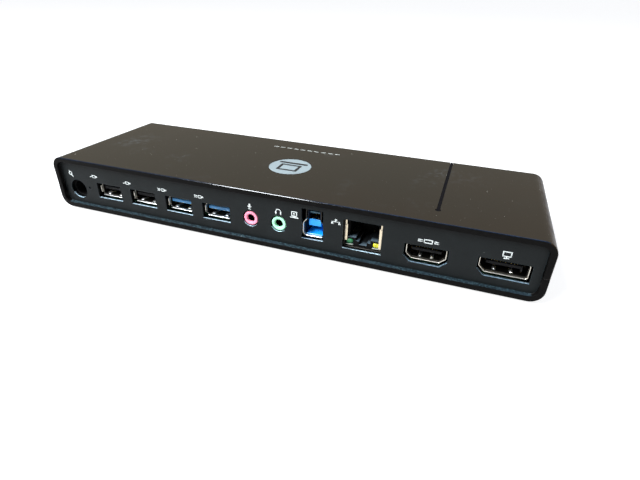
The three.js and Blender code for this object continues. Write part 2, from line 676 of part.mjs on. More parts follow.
/** The slot beside a bore that a leaf spring lies in. */
function leafSlot(bore, back) {
  const outer = bore + LEAF.offset + LEAF.thickness + LEAF.swing;
  const halfHeight = LEAF.halfHeight + LEAF.sideGap;
  return block([bore * 0.5, outer], [back - LEAF.length - LEAF.frontGap, back], [-halfHeight, halfHeight]);
}

/** A leaf spring that presses on a plug from one side of the bore, drawn about its bending line. */
function leafSpring(name, bore, back) {
  const { thickness, length, halfHeight, bump, bite, offset, root, tail } = LEAF;
  const up = [-halfHeight, halfHeight];
  const leaf = block([0, thickness], [-length, tail], up);
  const tip = block([-bite - offset, 0.1], [-length, -length + bump], up);
  const mesh = meshOf(name, leaf.add(tip), 'brass');
  mesh.position.set(bore + offset, back - root, 0);
  return mesh;
}

/** Where a socket's block starts, just behind the panel, measured from the mouths. */
function blockFront() {
  return PANEL.recess + PANEL.thickness + PANEL.gap - MOUTH_Y;
}

/** The power socket: a moulded block with a deep round bore, a centre pin and a side spring. */
function powerSocket() {
  const { halfWidth, halfHeight, bore, pin, pinFront, depth, backWall } = POWER;
  const front = blockFront();
  const boreEnd = depth - backWall;
  const pinEnd = depth - 1;
  const body = block([-halfWidth, halfWidth], [front, depth], [-halfHeight, halfHeight])
    .subtract(barY(bore, [front - 1, boreEnd]))
    .subtract(leafSlot(bore, boreEnd))
    .subtract(barY(pin + SEAT_GAP, [0, pinEnd]));
  return socketGroup(
    POWER,
    meshOf('power_socket_body', body, 'black'),
    meshOf('power_socket_pin', barY(pin, [pinFront, pinEnd - SEAT_GAP]), 'steel'),
    leafSpring('power_socket_spring', bore, boreEnd),
  );
}

/** A coloured audio socket: a moulded block whose round nose shows in the panel. */
function audioSocket(name, look, x) {
  const { z, halfWidth, top, front, nose, bore, depth, backWall } = AUDIO;
  const noseFront = front - MOUTH_Y;
  const boreEnd = depth - backWall;
  const body = block([-halfWidth, halfWidth], [blockFront(), depth], [BOARD.top - z, top])
    .add(barY(nose, [noseFront, blockFront() + 0.5]))
    .subtract(barY(bore, [noseFront - 1, boreEnd]))
    .subtract(leafSlot(bore, boreEnd));
  return socketGroup(
    { x, z },
    meshOf(`${name}_socket`, body, look),
    leafSpring(`${name}_spring`, bore, boreEnd),
  );
}

// -------------------------------------------------------------------------------- assembly

const dock = new THREE.Group();
dock.position.set(0, -CASE.depth / 2, FOOT.height);
dock.add(topCover(), bottomCover(), portPanel(), frontPanel(), badge(), lightPipe(), ratingLabel());
footPlaces().forEach((place, index) => dock.add(foot(`foot_${index + 1}`, place)));
SCREW_PLACES.forEach((place, index) => dock.add(caseScrew(`case_screw_${index + 1}`, place)));
dock.add(...electronics());
dock.add(powerSocket());
for (let index = 0; index < USB.count; index += 1) {
  dock.add(usbPort(index));
}
dock.add(audioSocket('microphone', 'pink', AUDIO.xs[0]));
dock.add(audioSocket('headphone', 'green', AUDIO.xs[1]));
dock.add(hostPort(), ethernetPort(), hdmiPort(), displayportPort());

const group = new THREE.Group();
group.add(dock);

export default group;
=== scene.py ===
"""Looks of a laptop docking station, built round its CAD frame. Metres, +Z up, the sockets face -Y."""

import json
import math

import bmesh
import bpy
from mathutils import Matrix, Vector


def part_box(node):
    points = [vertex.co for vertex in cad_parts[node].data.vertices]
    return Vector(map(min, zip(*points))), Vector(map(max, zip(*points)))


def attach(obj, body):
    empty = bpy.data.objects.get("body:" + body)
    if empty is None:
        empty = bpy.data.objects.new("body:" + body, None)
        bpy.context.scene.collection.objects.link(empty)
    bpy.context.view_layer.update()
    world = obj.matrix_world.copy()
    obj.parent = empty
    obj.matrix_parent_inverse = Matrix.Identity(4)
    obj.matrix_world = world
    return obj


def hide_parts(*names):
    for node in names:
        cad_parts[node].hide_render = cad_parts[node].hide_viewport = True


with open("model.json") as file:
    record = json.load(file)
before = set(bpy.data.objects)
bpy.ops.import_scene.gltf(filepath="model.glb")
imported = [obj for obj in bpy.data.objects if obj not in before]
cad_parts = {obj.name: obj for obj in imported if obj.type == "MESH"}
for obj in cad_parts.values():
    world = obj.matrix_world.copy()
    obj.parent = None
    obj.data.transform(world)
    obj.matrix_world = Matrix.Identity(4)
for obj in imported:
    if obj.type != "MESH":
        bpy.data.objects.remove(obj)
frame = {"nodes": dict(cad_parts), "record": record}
bpy.context.view_layer.update()

MM = 0.001

# ---- camera ----

CAMERA_AZIMUTH = math.radians(19.104)
CAMERA_ELEVATION = math.radians(29.790)
CAMERA_ROLL = math.radians(1.439)
CAMERA_PLACE = Vector((0.076411, -0.180362, 0.098520))
LENS_MM = 24.716
SENSOR_MM = 36.0


def make_camera():
    """The fixed viewpoint: above the sockets and a little to their right."""
    flat = math.cos(CAMERA_ELEVATION)
    back = Vector((
        math.sin(CAMERA_AZIMUTH) * flat,
        -math.cos(CAMERA_AZIMUTH) * flat,
        math.sin(CAMERA_ELEVATION),
    ))
    level = Vector((0, 0, 1)).cross(back).normalized()
    upright = back.cross(level)
    right = level * math.cos(CAMERA_ROLL) + upright * math.sin(CAMERA_ROLL)
    up = upright * math.cos(CAMERA_ROLL) - level * math.sin(CAMERA_ROLL)
    camera = bpy.data.objects.new("camera", bpy.data.cameras.new("camera"))
    camera.data.lens = LENS_MM
    camera.data.sensor_width = SENSOR_MM
    camera.data.clip_start = 0.01
    camera.matrix_world = Matrix((
        (right.x, up.x, back.x, CAMERA_PLACE.x),
        (right.y, up.y, back.y, CAMERA_PLACE.y),
        (right.z, up.z, back.z, CAMERA_PLACE.z),
        (0, 0, 0, 1),
    ))
    bpy.context.scene.collection.objects.link(camera)
    bpy.context.scene.camera = camera


make_camera()

case_low, case_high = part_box("top_cover")
tray_low, tray_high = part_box("bottom_cover")
panel_low, panel_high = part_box("port_panel")

# ---- materials ----


class Nodes:
    """A node tree under construction."""

    def __init__(self, tree):
        self.tree = tree

    def add(self, kind, inputs=None, **settings):
        """A node with its settings, and with each input set to a value or linked to an output."""
        node = self.tree.nodes.new(kind)
        for key, value in settings.items():
            setattr(node, key, value)
        for key, value in (inputs or {}).items():
            self.feed(node.inputs[key], value)
        return node

    def feed(self, socket, value):
        """Sets an input to a value, or links it to another node's output."""
        if isinstance(value, bpy.types.NodeSocket):
            self.tree.links.new(value, socket)
        else:
            socket.default_value = value

    def mix(self, kind, mask, first, second):
        """The first value where the mask is 0 and the second where it is 1."""
        inputs = {"Factor": mask, "A": first, "B": second}
        return self.add("ShaderNodeMix", inputs, data_type=kind).outputs["Result"]

    def axis(self, place, name):
        """One coordinate of a place."""
        return self.add("ShaderNodeSeparateXYZ", {"Vector": place}).outputs[name]


class Shader(Nodes):
    """A material under construction: a Principled shader and the textures that drive it."""

    def __init__(self, name, base, roughness, metallic=0.0, specular=0.5, transmission=0.0):
        self.material = bpy.data.materials.new(name)
        self.material.use_nodes = True
        super().__init__(self.material.node_tree)
        self.surface = self.tree.nodes["Principled BSDF"]
        self.set("Metallic", metallic)
        self.set("Specular IOR Level", specular)
        self.set("Transmission Weight", transmission)
        self.color = (*base, 1.0)
        self.roughness = roughness
        self.place = self.add("ShaderNodeTexCoord").outputs["Object"]

    def set(self, socket, value):
        """Sets one of the Principled shader's inputs, or links it."""
        self.feed(self.surface.inputs[socket], value)

    def noise(self, per_mm, detail=3.0, rough=0.55):
        """Cloudy noise with this many features to a millimetre."""
        return self.add("ShaderNodeTexNoise", {
            "Vector": self.place, "Scale": per_mm / MM, "Detail": detail, "Roughness": rough,
        }).outputs["Fac"]

    def ramp(self, factor, low, high):
        """factor carried from low..high onto 0..1, smoothly and within those limits."""
        return self.add("ShaderNodeMapRange", {
            "Value": factor, "From Min": low, "From Max": high,
        }, interpolation_type="SMOOTHSTEP").outputs["Result"]

    def math(self, operation, first, second):
        return self.add("ShaderNodeMath", {0: first, 1: second}, operation=operation).outputs[0]

    def tint(self, mask, color):
        """The colour changed to another one where the mask is high."""
        self.color = self.mix("RGBA", mask, self.color, (*color, 1.0))

    def roughen(self, mask, value):
        """The roughness changed to another one where the mask is high."""
        self.roughness = self.mix("FLOAT", mask, self.roughness, value)

    def cloud(self, color, low, high, **noise):
        """Another colour in the clouds where the noise passes from low to high."""
        self.tint(self.ramp(self.noise(**noise), low, high), color)

    def dull(self, value, low, high, **noise):
        """Another roughness in the clouds where the noise passes from low to high."""
        self.roughen(self.ramp(self.noise(**noise), low, high), value)

    def dust(self, color, cell_mm, share, size):
        """Scattered specks of another colour."""
        self.tint(self.specks(cell_mm, share, size), color)

    def raise_by(self, factor, height_mm):
        """Bumps of this height where the factor is high."""
        self.set("Normal", self.add("ShaderNodeBump", {
            "Height": factor, "Distance": height_mm * MM, "Strength": 1.0,
        }).outputs["Normal"])

    def specks(self, cell_mm, share, size):
        """A mask of scattered round specks: a share of cells this far apart holds one."""
        cells = self.add("ShaderNodeTexVoronoi", {"Vector": self.place, "Scale": 1.0 / (cell_mm * MM)})
        lottery = self.add("ShaderNodeSeparateColor", {"Color": cells.outputs["Color"]})
        drawn = self.ramp(lottery.outputs["Red"], 1 - share, 1 - share + 0.01)
        small = self.math("MULTIPLY", lottery.outputs["Green"], size)
        inside = self.math("LESS_THAN", cells.outputs["Distance"], small)
        return self.math("MULTIPLY", drawn, inside)

    def scratches(self, turn, per_mm_across, per_mm_along, low, high):
        """A mask of hairlines that run roughly one way, turned about Z."""
        across = per_mm_across / MM
        place = self.add("ShaderNodeMapping", {
            "Vector": self.place, "Scale": (across, per_mm_along / MM, across), "Rotation": (0, 0, turn),
        }).outputs["Vector"]
        lines = self.add("ShaderNodeTexNoise", {
            "Vector": place, "Scale": 1.0, "Detail": 1.0, "Roughness": 0.4, "Distortion": 0.15,
        }).outputs["Fac"]
        return self.ramp(lines, low, high)

    def worn_edges(self, radius_mm, low, high):
        """A mask that is high close to a sharp edge."""
        rounded = self.add("ShaderNodeBevel", {"Radius": radius_mm * MM}, samples=4).outputs["Normal"]
        true = self.add("ShaderNodeNewGeometry").outputs["Normal"]
        likeness = self.add("ShaderNodeVectorMath", {0: rounded, 1: true}, operation="DOT_PRODUCT")
        return self.ramp(likeness.outputs["Value"], high, low)

    def done(self):
        """The finished material."""
        self.set("Base Color", self.color)
        self.set("Roughness", self.roughness)
        return self.material


def scaled(color, factor):
    """A colour made darker or lighter."""
    return tuple(channel * factor for channel in color)


def gloss_black():
    """Piano-gloss moulding: faint smudges, settled dust, a few hairlines, and edges tinted cold blue,
    partly rubbed wear and partly painted reflection.
    """
    shader = Shader("gloss_black", (0.0135, 0.0115, 0.0085), 0.09, specular=0.5)
    smudge = shader.ramp(shader.noise(0.03, 4.0, 0.6), 0.52, 0.75)
    haze = shader.ramp(shader.noise(0.4, 3.0), 0.45, 0.75)
    shader.roughen(smudge, 0.15)
    film = shader.math("MULTIPLY", smudge, haze)
    shader.roughen(film, 0.22)
    shader.tint(film, (0.045, 0.049, 0.052))
    shader.cloud((0.0150, 0.0113, 0.0080), 0.42, 0.68, per_mm=0.012, detail=2.0)
    hairlines = shader.math("MULTIPLY", shader.scratches(0.5, 2.6, 0.05, 0.76, 0.8), haze)
    shader.tint(shader.math("MULTIPLY", hairlines, 0.4), (0.05, 0.048, 0.042))
    fine = shader.specks(1.1, 0.3, 0.1)
    coarse = shader.specks(3.0, 0.3, 0.07)
    shader.tint(fine, (0.085, 0.08, 0.07))
    shader.tint(coarse, (0.36, 0.35, 0.30))
    shader.roughen(fine, 0.5)
    shader.roughen(coarse, 0.8)
    # Rubbed edges in patches, tinted cold blue: partly wear, partly a painted reflection.
    patches = shader.ramp(shader.noise(0.6), 0.45, 0.75)
    edges = shader.math("MULTIPLY", shader.worn_edges(0.4, 0.86, 0.995), patches)
    shader.tint(edges, (0.035, 0.05, 0.08))
    shader.roughen(edges, 0.12)
    return shader.done()


def textured_black():
    """Spark-eroded moulding: a fine pebbled grain, paler blue-grey on its raised grains, with pale specks
    of dust.
    """
    shader = Shader("textured_black", (0.012, 0.0135, 0.0155), 0.5, specular=0.4)
    grain = shader.noise(3.2, 4.0, 0.65)
    shader.tint(shader.ramp(grain, 0.6, 0.78), (0.055, 0.075, 0.085))
    shader.dull(0.56, 0.4, 0.7, per_mm=0.15)
    shader.dust((0.16, 0.2, 0.22), 1.6, 0.2, 0.08)
    shader.tint(shader.math("MULTIPLY", shader.worn_edges(0.4, 0.86, 0.995), 0.6), (0.07, 0.085, 0.1))
    shader.raise_by(grain, 0.05)
    return shader.done()


def panel_black():
    """The socket panel: fine satin grain, a few specks of dust and faint wipe marks."""
    shader = Shader("panel_black", (0.0037, 0.0049, 0.0052), 0.55, specular=0.15)
    grain = shader.noise(6.0, 3.0, 0.6)
    shader.tint(shader.ramp(grain, 0.62, 0.8), (0.011, 0.015, 0.0165))
    shader.cloud((0.0054, 0.0072, 0.0076), 0.45, 0.8, per_mm=0.09, detail=4.0, rough=0.6)
    shader.dull(0.6, 0.4, 0.75, per_mm=0.2)
    shader.dust((0.2, 0.21, 0.2), 2.2, 0.3, 0.07)
    shader.tint(shader.worn_edges(0.25, 0.8, 0.99), (0.02, 0.03, 0.036))
    shader.raise_by(grain, 0.02)
    return shader.done()


def shaded_rim_black():
    """The end faces of the casing: the same moulding, darker and with a duller finish, as painted shade.
    """
    shader = Shader("shaded_rim_black", (0.0026, 0.0024, 0.0023), 0.45, specular=0.04)
    shader.cloud((0.0038, 0.0036, 0.0034), 0.45, 0.75, per_mm=0.5, detail=3.0)
    shader.dust((0.08, 0.085, 0.085), 3.0, 0.2, 0.05)
    shader.dull(0.5, 0.4, 0.7, per_mm=1.2)
    shader.raise_by(shader.noise(2.5), 0.008)
    return shader.done()


def edge_gloss_painted_reflection():
    """The rounded edge where the top turns down to the sockets: glossy, with a painted cold blue
    reflection.
    """
    shader = Shader("edge_gloss_painted_reflection", (0.003, 0.0065, 0.015), 0.1, specular=0.5)
    shader.cloud((0.005, 0.011, 0.025), 0.45, 0.7, per_mm=0.25, detail=4.0, rough=0.6)
    shader.dull(0.15, 0.4, 0.7, per_mm=0.8)
    shader.dust((0.2, 0.22, 0.26), 3.0, 0.3, 0.07)
    return shader.done()


def flank_black_painted_reflection():
    """The casing's flanks: satin black with a warm brown painted reflection."""
    shader = Shader("flank_black_painted_reflection", (0.020, 0.0125, 0.007), 0.36, specular=0.13)
    shader.cloud((0.030, 0.020, 0.012), 0.45, 0.75, per_mm=0.12, detail=4.0)
    shader.dull(0.45, 0.4, 0.7, per_mm=0.3)
    shader.dust((0.12, 0.11, 0.09), 2.0, 0.3, 0.07)
    shader.raise_by(shader.noise(2.0), 0.004)
    return shader.done()


def ledge_black():
    """The textured ledge in front of the socket panel, where pale blue-green dust has settled."""
    shader = Shader("ledge_black", (0.006, 0.012, 0.016), 0.6, specular=0.15)
    shader.cloud((0.026, 0.049, 0.059), 0.47, 0.6, per_mm=1.3, detail=3.0, rough=0.6)
    shader.cloud((0.012, 0.022, 0.030), 0.5, 0.7, per_mm=0.12, detail=3.0)
    shader.dust((0.22, 0.27, 0.28), 2.2, 0.3, 0.1)
    shader.raise_by(shader.noise(2.4, 3.0), 0.05)
    return shader.done()


def nickel(name, shaded):
    """Nickel-plated pressed sheet, slightly warm: rolling lines, dull patches, and painted shade inside a
    socket when shaded.
    """
    shader = Shader(name, (0.80, 0.75, 0.66), 0.32, metallic=1.0)
    rolling = shader.scratches(0.0, 0.4, 9.0, 0.45, 0.75)
    shader.roughen(rolling, 0.42)
    shader.cloud((0.66, 0.60, 0.50), 0.45, 0.75, per_mm=0.5, detail=4.0)
    shader.dust((0.36, 0.32, 0.26), 1.1, 0.2, 0.1)
    if shaded:
        shade_inwards(shader, 0.9, 1.7, (0.09, 0.08, 0.07))
    shader.raise_by(rolling, 0.004)
    return shader.done()


def gold_plate():
    """Thin gold plating with duller rubbed lines."""
    shader = Shader("gold_plate", (0.83, 0.60, 0.24), 0.22, metallic=1.0)
    rubbed = shader.ramp(shader.noise(2.0, 3.0), 0.45, 0.7)
    shader.tint(rubbed, (0.66, 0.47, 0.2))
    shader.roughen(rubbed, 0.36)
    shader.raise_by(rubbed, 0.003)
    return shader.done()


def shade_inwards(shader, start_mm, end_mm, color):
    """Darkens a material with depth behind the sockets' mouths: painted shade."""
    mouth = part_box("usb_shell_1")[0].y
    depth = shader.axis(shader.place, "Y")
    shader.tint(shader.ramp(depth, mouth + start_mm * MM, mouth + end_mm * MM), color)


def moulding(name, color, roughness=0.4, darker=0.7, specular=0.45, shaded=False):
    """An injection moulding: flow marks in its colour, a faint grain and specks of dust; if shaded,
    painted shade darkens it with depth behind the sockets' mouths.
    """
    shader = Shader(name, color, roughness, specular=specular)
    flow = shader.ramp(shader.noise(0.35, 4.0, 0.6), 0.4, 0.75)
    shader.tint(flow, scaled(color, darker))
    shader.dull(min(roughness + 0.15, 1.0), 0.4, 0.7, per_mm=0.8)
    dust = tuple(0.5 * channel + 0.2 for channel in color)
    shader.dust(dust, 2.4, 0.2, 0.06)
    if shaded:
        shade_inwards(shader, 1.5, 4.0, (0.004, 0.005, 0.006))
    shader.raise_by(shader.noise(3.0), 0.012)
    return shader.done()


def metal(name, color, roughness):
    """A plain metal with a brushed direction and a few stains."""
    shader = Shader(name, color, roughness, metallic=1.0)
    brushed = shader.scratches(0.3, 5.0, 0.3, 0.45, 0.7)
    shader.roughen(brushed, min(roughness + 0.18, 1.0))
    shader.cloud(scaled(color, 0.8), 0.5, 0.75, per_mm=0.3, detail=4.0)
    shader.raise_by(brushed, 0.004)
    return shader.done()


def badge_silver():
    """The badge's pale satin film, a little cloudy, with a fine metallic grain."""
    shader = Shader("badge_silver", (0.27, 0.33, 0.35), 0.42, metallic=0.2)
    shader.cloud((0.32, 0.375, 0.39), 0.55, 0.75, per_mm=5.0, detail=2.0)
    shader.cloud((0.25, 0.30, 0.32), 0.45, 0.75, per_mm=0.12, detail=4.0)
    shader.dust((0.25, 0.28, 0.3), 1.8, 0.15, 0.07)
    shader.dull(0.5, 0.4, 0.7, per_mm=0.3)
    return shader.done()


def cut_edge_painted_reflection(name, reflection_color):
    """The lower faces of the panel's openings: a painted pale blue reflection where they meet the front,
    painted shade further in.
    """
    shader = Shader(name, reflection_color, 0.3, specular=0.5)
    # Painted reflection at the front, turning to a darker painted shade further in.
    depth = shader.axis(shader.place, "Y")
    front = panel_low.y
    shader.tint(shader.ramp(depth, front + 0.5 * MM, front + 0.8 * MM), (0.09, 0.13, 0.16))
    streaks = shader.scratches(0.0, 1.4, 0.2, 0.45, 0.7)
    shader.tint(shader.math("MULTIPLY", streaks, 0.5), (0.02, 0.03, 0.04))
    shader.roughen(streaks, 0.45)
    shader.raise_by(shader.noise(3.0), 0.006)
    return shader.done()


def printed(name, color):
    """Screen-printed ink, slightly uneven in cover."""
    shader = Shader(name, color, 0.55, specular=0.3)
    shader.cloud(scaled(color, 0.72), 0.5, 0.8, per_mm=4.0, detail=3.0)
    shader.dull(0.7, 0.4, 0.7, per_mm=1.5)
    shader.raise_by(shader.noise(6.0), 0.006)
    return shader.done()


def lamp_lens(name, color):
    """The cloudy lens of a small unlit lamp."""
    shader = Shader(name, color, 0.22, specular=0.5, transmission=0.15)
    shader.cloud(scaled(color, 0.55), 0.4, 0.75, per_mm=0.8, detail=3.0)
    shader.dull(0.4, 0.45, 0.7, per_mm=1.6)
    shader.raise_by(shader.noise(1.2), 0.02)
    return shader.done()


def board_green():
    """Solder mask with faint copper tracks under it."""
    shader = Shader("board_green", (0.004, 0.022, 0.010), 0.45, specular=0.25)
    tracks = shader.add("ShaderNodeTexBrick", {
        "Vector": shader.place, "Scale": 180.0,
        "Mortar Size": 0.08, "Brick Width": 0.9, "Row Height": 0.3,
    }).outputs["Fac"]
    shader.tint(shader.math("MULTIPLY", tracks, 0.6), (0.010, 0.05, 0.02))
    shader.dull(0.5, 0.4, 0.7, per_mm=0.4)
    shader.raise_by(tracks, 0.02)
    return shader.done()


def foot_rubber():
    """Soft rubber, bloomed grey in places, with lint stuck to it."""
    shader = Shader("foot_rubber", (0.018, 0.018, 0.019), 0.85, specular=0.3)
    shader.cloud((0.04, 0.04, 0.042), 0.45, 0.75, per_mm=0.25, detail=4.0, rough=0.65)
    shader.dust((0.22, 0.21, 0.2), 1.5, 0.3, 0.08)
    shader.raise_by(shader.noise(2.0, 4.0), 0.04)
    return shader.done()


LOOKS = {
    "gloss": gloss_black(),
    "textured": textured_black(),
    "panel": panel_black(),
    "rubber": foot_rubber(),
    "steel": nickel("nickel", False),
    "brass": gold_plate(),
    "aluminium": metal("aluminium_satin", (0.62, 0.63, 0.64), 0.35),
    "badge": badge_silver(),
    "smoked": moulding("smoked_plastic", (0.0015, 0.0015, 0.003), 0.5, specular=0.08),
    "board": board_green(),
    "chip": moulding("chip_black", (0.015, 0.015, 0.016), 0.6),
    "ferrite": moulding("ferrite_grey", (0.05, 0.05, 0.053), 0.7),
    "pad": moulding("thermal_pad_grey", (0.28, 0.30, 0.33), 0.8),
    "label": moulding("label_film", (0.55, 0.56, 0.57), 0.5, darker=0.9),
    "black": moulding("socket_black", (0.006, 0.0062, 0.007), 0.55, specular=0.12),
    "blue": moulding("tongue_blue", (0.03, 0.17, 0.37), 0.35),
    "bright_blue": moulding("host_blue", (0.006, 0.30, 0.85), 0.3),
    # The socket moulding is darkened with depth inside the sockets: painted shade.
    "slate": moulding("socket_slate", (0.065, 0.095, 0.120), 0.45, shaded=True),
    "pink": moulding("nose_pink", (0.80, 0.24, 0.34), 0.35, darker=0.85),
    "green": moulding("nose_green", (0.33, 0.70, 0.45), 0.35, darker=0.88),
    "green_lamp": lamp_lens("link_lens", (0.015, 0.17, 0.055)),
    "yellow_lamp": lamp_lens("activity_lens", (0.58, 0.55, 0.02)),
    "white_lamp": lamp_lens("white_lens", (0.75, 0.76, 0.72)),
}
INK = printed("pale_ink", (0.50, 0.53, 0.52))
FAINT_INK = printed("faint_ink", (0.34, 0.35, 0.33))
BADGE_INK = printed("badge_ink", (0.018, 0.017, 0.016))
# Near-black, low-gloss moulding: black parts deepened into painted shade, and the network moulding's
# shaded faces.
BLACK_PAINTED_SHADE = moulding("black_painted_shade", (0.003, 0.0028, 0.0028), 0.5, specular=0.08)
SHADED_BLUE = moulding("shaded_blue", (0.001, 0.006, 0.018), 0.4, specular=0.2)
CUT_EDGE_PAINTED_REFLECTION = cut_edge_painted_reflection("cut_edge_painted_reflection", (0.50, 0.67, 0.78))
DULL_CUT_EDGE_PAINTED_REFLECTION = cut_edge_painted_reflection("cut_edge_dull_painted_reflection", (0.16, 0.24, 0.31))
LEDGE = ledge_black()
# Shell materials: nickel darkened inside as painted shade, plain nickel, a dark copy as painted shadow and
# a bright copy as painted highlight.
SHELL_STEELS = [
    nickel("nickel_painted_shade", True),
    LOOKS["steel"],
    metal("nickel_painted_shadow", (0.05, 0.046, 0.042), 0.5),
    metal("nickel_painted_highlight", (0.95, 0.95, 0.93), 0.3),
]
STEEL = 1
PAINTED_SHADOW = 2
PAINTED_HIGHLIGHT = 3
TAN_STEEL = metal("tan_plate", (0.72, 0.62, 0.46), 0.38)
PALE_LEDGE = moulding("ledge_pale", (0.30, 0.32, 0.27), 0.5)
# A pale blue copy of the insulator's blue for the host socket's lower lip: painted highlight.
LIP_BLUE_PAINTED_HIGHLIGHT = moulding("lip_blue_painted_highlight", (0.20, 0.50, 0.80), 0.3)
# A grey-blue copy of the insulator's blue for its fast tongue: painted shade.
SHADED_SLATE_BLUE = moulding("shaded_slate_blue", (0.06, 0.14, 0.19), 0.4)
SHADED_RIM_BLACK = shaded_rim_black()
FLANK_BLACK_PAINTED_REFLECTION = flank_black_painted_reflection()
EDGE_GLOSS_PAINTED_REFLECTION = edge_gloss_painted_reflection()

SLOTS = {entry["node"]: entry["material_slot"] for entry in frame["record"]["subparts"]}
BODIES = frame["record"]["behaviour"]["bodies"]
BODY_OF = {node: body for body, nodes in BODIES.items() for node in nodes}
FIXED = BODY_OF["top_cover"]

for node_name, node_object in frame["nodes"].items():
    node_object.data.materials.clear()
    node_object.data.materials.append(LOOKS[SLOTS[node_name]])

# ---- mesh helpers ----


def finish_piece(name, bm, materials, place, body=FIXED, replaced=()):
    """Turns mesh code's result into a smooth piece on a body; place is where its millimetres start."""
    if place is not None:
        for vert in bm.verts:
            vert.co = place + vert.co * MM
    bmesh.ops.recalc_face_normals(bm, faces=bm.faces)
    for face in bm.faces:
        face.smooth = True
    mesh = bpy.data.meshes.new(name)
    bm.to_mesh(mesh)
    bm.free()
    for material in materials:
        mesh.materials.append(material)
    piece = bpy.data.objects.new(name, mesh)
    bpy.context.scene.collection.objects.link(piece)
    weighted = piece.modifiers.new("flat_faces", "WEIGHTED_NORMAL")
    weighted.keep_sharp = False
    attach(piece, body)
    if replaced:
        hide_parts(*replaced)
    return piece


def finish_node(node, bm, materials=None, place=None):
    """A piece that takes the place of one CAD node, on its body and in its material slot."""
    slot = SLOTS[node]
    looks = materials or [LOOKS[slot]]
    return finish_piece(f"{node}_surface", bm, looks, place, BODY_OF[node], [node])


def round_edges(bm, width, segments=2, least_degrees=25, where=None):
    """Rounds the edges where two faces meet at an angle, or those of them that a test picks."""
    least = math.radians(least_degrees)
    edges = [
        edge for edge in bm.edges
        if len(edge.link_faces) == 2 and edge.calc_face_angle(0.0) > least
        and (where is None or where((edge.verts[0].co + edge.verts[1].co) / 2))
    ]
    if edges:
        bmesh.ops.bevel(
            bm, geom=edges, offset=width, offset_type="OFFSET", segments=segments,
            profile=0.5, affect="EDGES", clamp_overlap=True,
        )


def cad_copy(node):
    """A CAD node's mesh as whole flat faces, ready for rounding."""
    bm = bmesh.new()
    bm.from_mesh(frame["nodes"][node].data)
    bmesh.ops.remove_doubles(bm, verts=bm.verts, dist=1e-6)
    bmesh.ops.dissolve_limit(bm, angle_limit=math.radians(0.6), verts=bm.verts, edges=bm.edges)
    return bm


def refined(node, width_mm, segments=2, where=None):
    """A CAD node with its sharp edges rounded, in place of the node."""
    bm = cad_copy(node)
    round_edges(bm, width_mm * MM, segments, where=where)
    return finish_node(node, bm)


def middle_of(node):
    """The middle of a CAD node's box."""
    low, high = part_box(node)
    return Vector([(low[axis] + high[axis]) / 2 for axis in range(3)])


def mouth_of(node):
    """The middle of the face of a CAD node's box that looks out of the sockets' side."""
    place = middle_of(node)
    place.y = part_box(node)[0].y
    return place


def size_of(node):
    """Half the width, the depth and half the height of a CAD node's box, in millimetres."""
    low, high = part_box(node)
    size = Vector(high) - Vector(low)
    return size.x / 2 / MM, size.y / MM, size.z / 2 / MM


# Solids for small pieces are drawn in millimetres: X to the right, Y inwards from a mouth, Z up.


def outline(corners, radius, grow=0.0, steps=3):
    """Points round an anticlockwise outline with arcs at its corners, moved outwards by grow."""
    points = []
    for index, corner in enumerate(corners):
        here = Vector(corner)
        arriving = (here - Vector(corners[index - 1])).normalized()
        leaving = (Vector(corners[(index + 1) % len(corners)]) - here).normalized()
        first = Vector((arriving.y, -arriving.x))
        last = Vector((leaving.y, -leaving.x))
        bend = -radius if arriving.cross(leaving) < 0 else radius
        centre = here - (first + last) * (bend / (1 + first.dot(last)))
        for step in range(steps + 1):
            points.append(centre + first.slerp(last, step / steps) * (bend + grow))
    return points


def rectangle(half_width, half_height, x=0.0, z=0.0):
    """The corners of a rectangle."""
    return [
        (x - half_width, z - half_height), (x + half_width, z - half_height),
        (x + half_width, z + half_height), (x - half_width, z + half_height),
    ]


def upright(points, y):
    """An outline's points in an upright plane at one depth."""
    return [(point.x, y, point.y) for point in points]


def loft(rings):
    """A skin through rings of points that all have the same number, closed at both ends."""
    bm = bmesh.new()
    loops = [[bm.verts.new(point) for point in ring] for ring in rings]
    count = len(loops[0])
    for near, far in zip(loops, loops[1:]):
        for index in range(count):
            after = (index + 1) % count
            bm.faces.new((near[index], near[after], far[after], far[index]))
    bm.faces.new(loops[0])
    bm.faces.new(loops[-1])
    return bm


def plate(points, y0, y1):
    """A flat shape between two depths."""
    return loft([upright(points, y0), upright(points, y1)])


def turned(profile, steps):
    """A solid of revolution about an axis along Y; its profile is a list of (radius, y)."""
    turns = [2 * math.pi * step / steps for step in range(steps)]
    return loft([
        [(radius * math.cos(turn), y, radius * math.sin(turn)) for turn in turns]
        for radius, y in profile
    ])


def block(low, high, edge=0.1, segments=2):
    """A rectangular solid with rounded edges."""
    bm = bmesh.new()
    bmesh.ops.create_cube(bm, size=1.0)
    for vert in bm.verts:
        share = vert.co + Vector((0.5, 0.5, 0.5))
        vert.co = Vector([low[axis] + (high[axis] - low[axis]) * share[axis] for axis in range(3)])
    if edge:
        round_edges(bm, edge, segments)
    return bm


def strip(path, width, thickness, x):
    """A bent strip of sheet whose middle line is a path of (y, z)."""
    points = [Vector(point) for point in path]
    upper = []
    lower = []
    for index, point in enumerate(points):
        before = points[max(index - 1, 0)]
        after = points[min(index + 1, len(points) - 1)]
        along = (after - before).normalized()
        aside = Vector((-along.y, along.x)) * thickness / 2
        upper.append(point + aside)
        lower.append(point - aside)
    section = upper + lower[::-1]
    bm = loft([[(x + side * width / 2, point.x, point.y) for point in section] for side in (-1, 1)])
    round_edges(bm, 0.04, 1, 60)
    return bm


def merge(target, solid, material=None):
    """Adds a finished solid to a piece, by default with the materials its faces already have."""
    bmesh.ops.recalc_face_normals(solid, faces=solid.faces)
    if material is not None:
        for face in solid.faces:
            face.material_index = material
    mesh = bpy.data.meshes.new("part")
    solid.to_mesh(mesh)
    solid.free()
    target.from_mesh(mesh)
    bpy.data.meshes.remove(mesh)


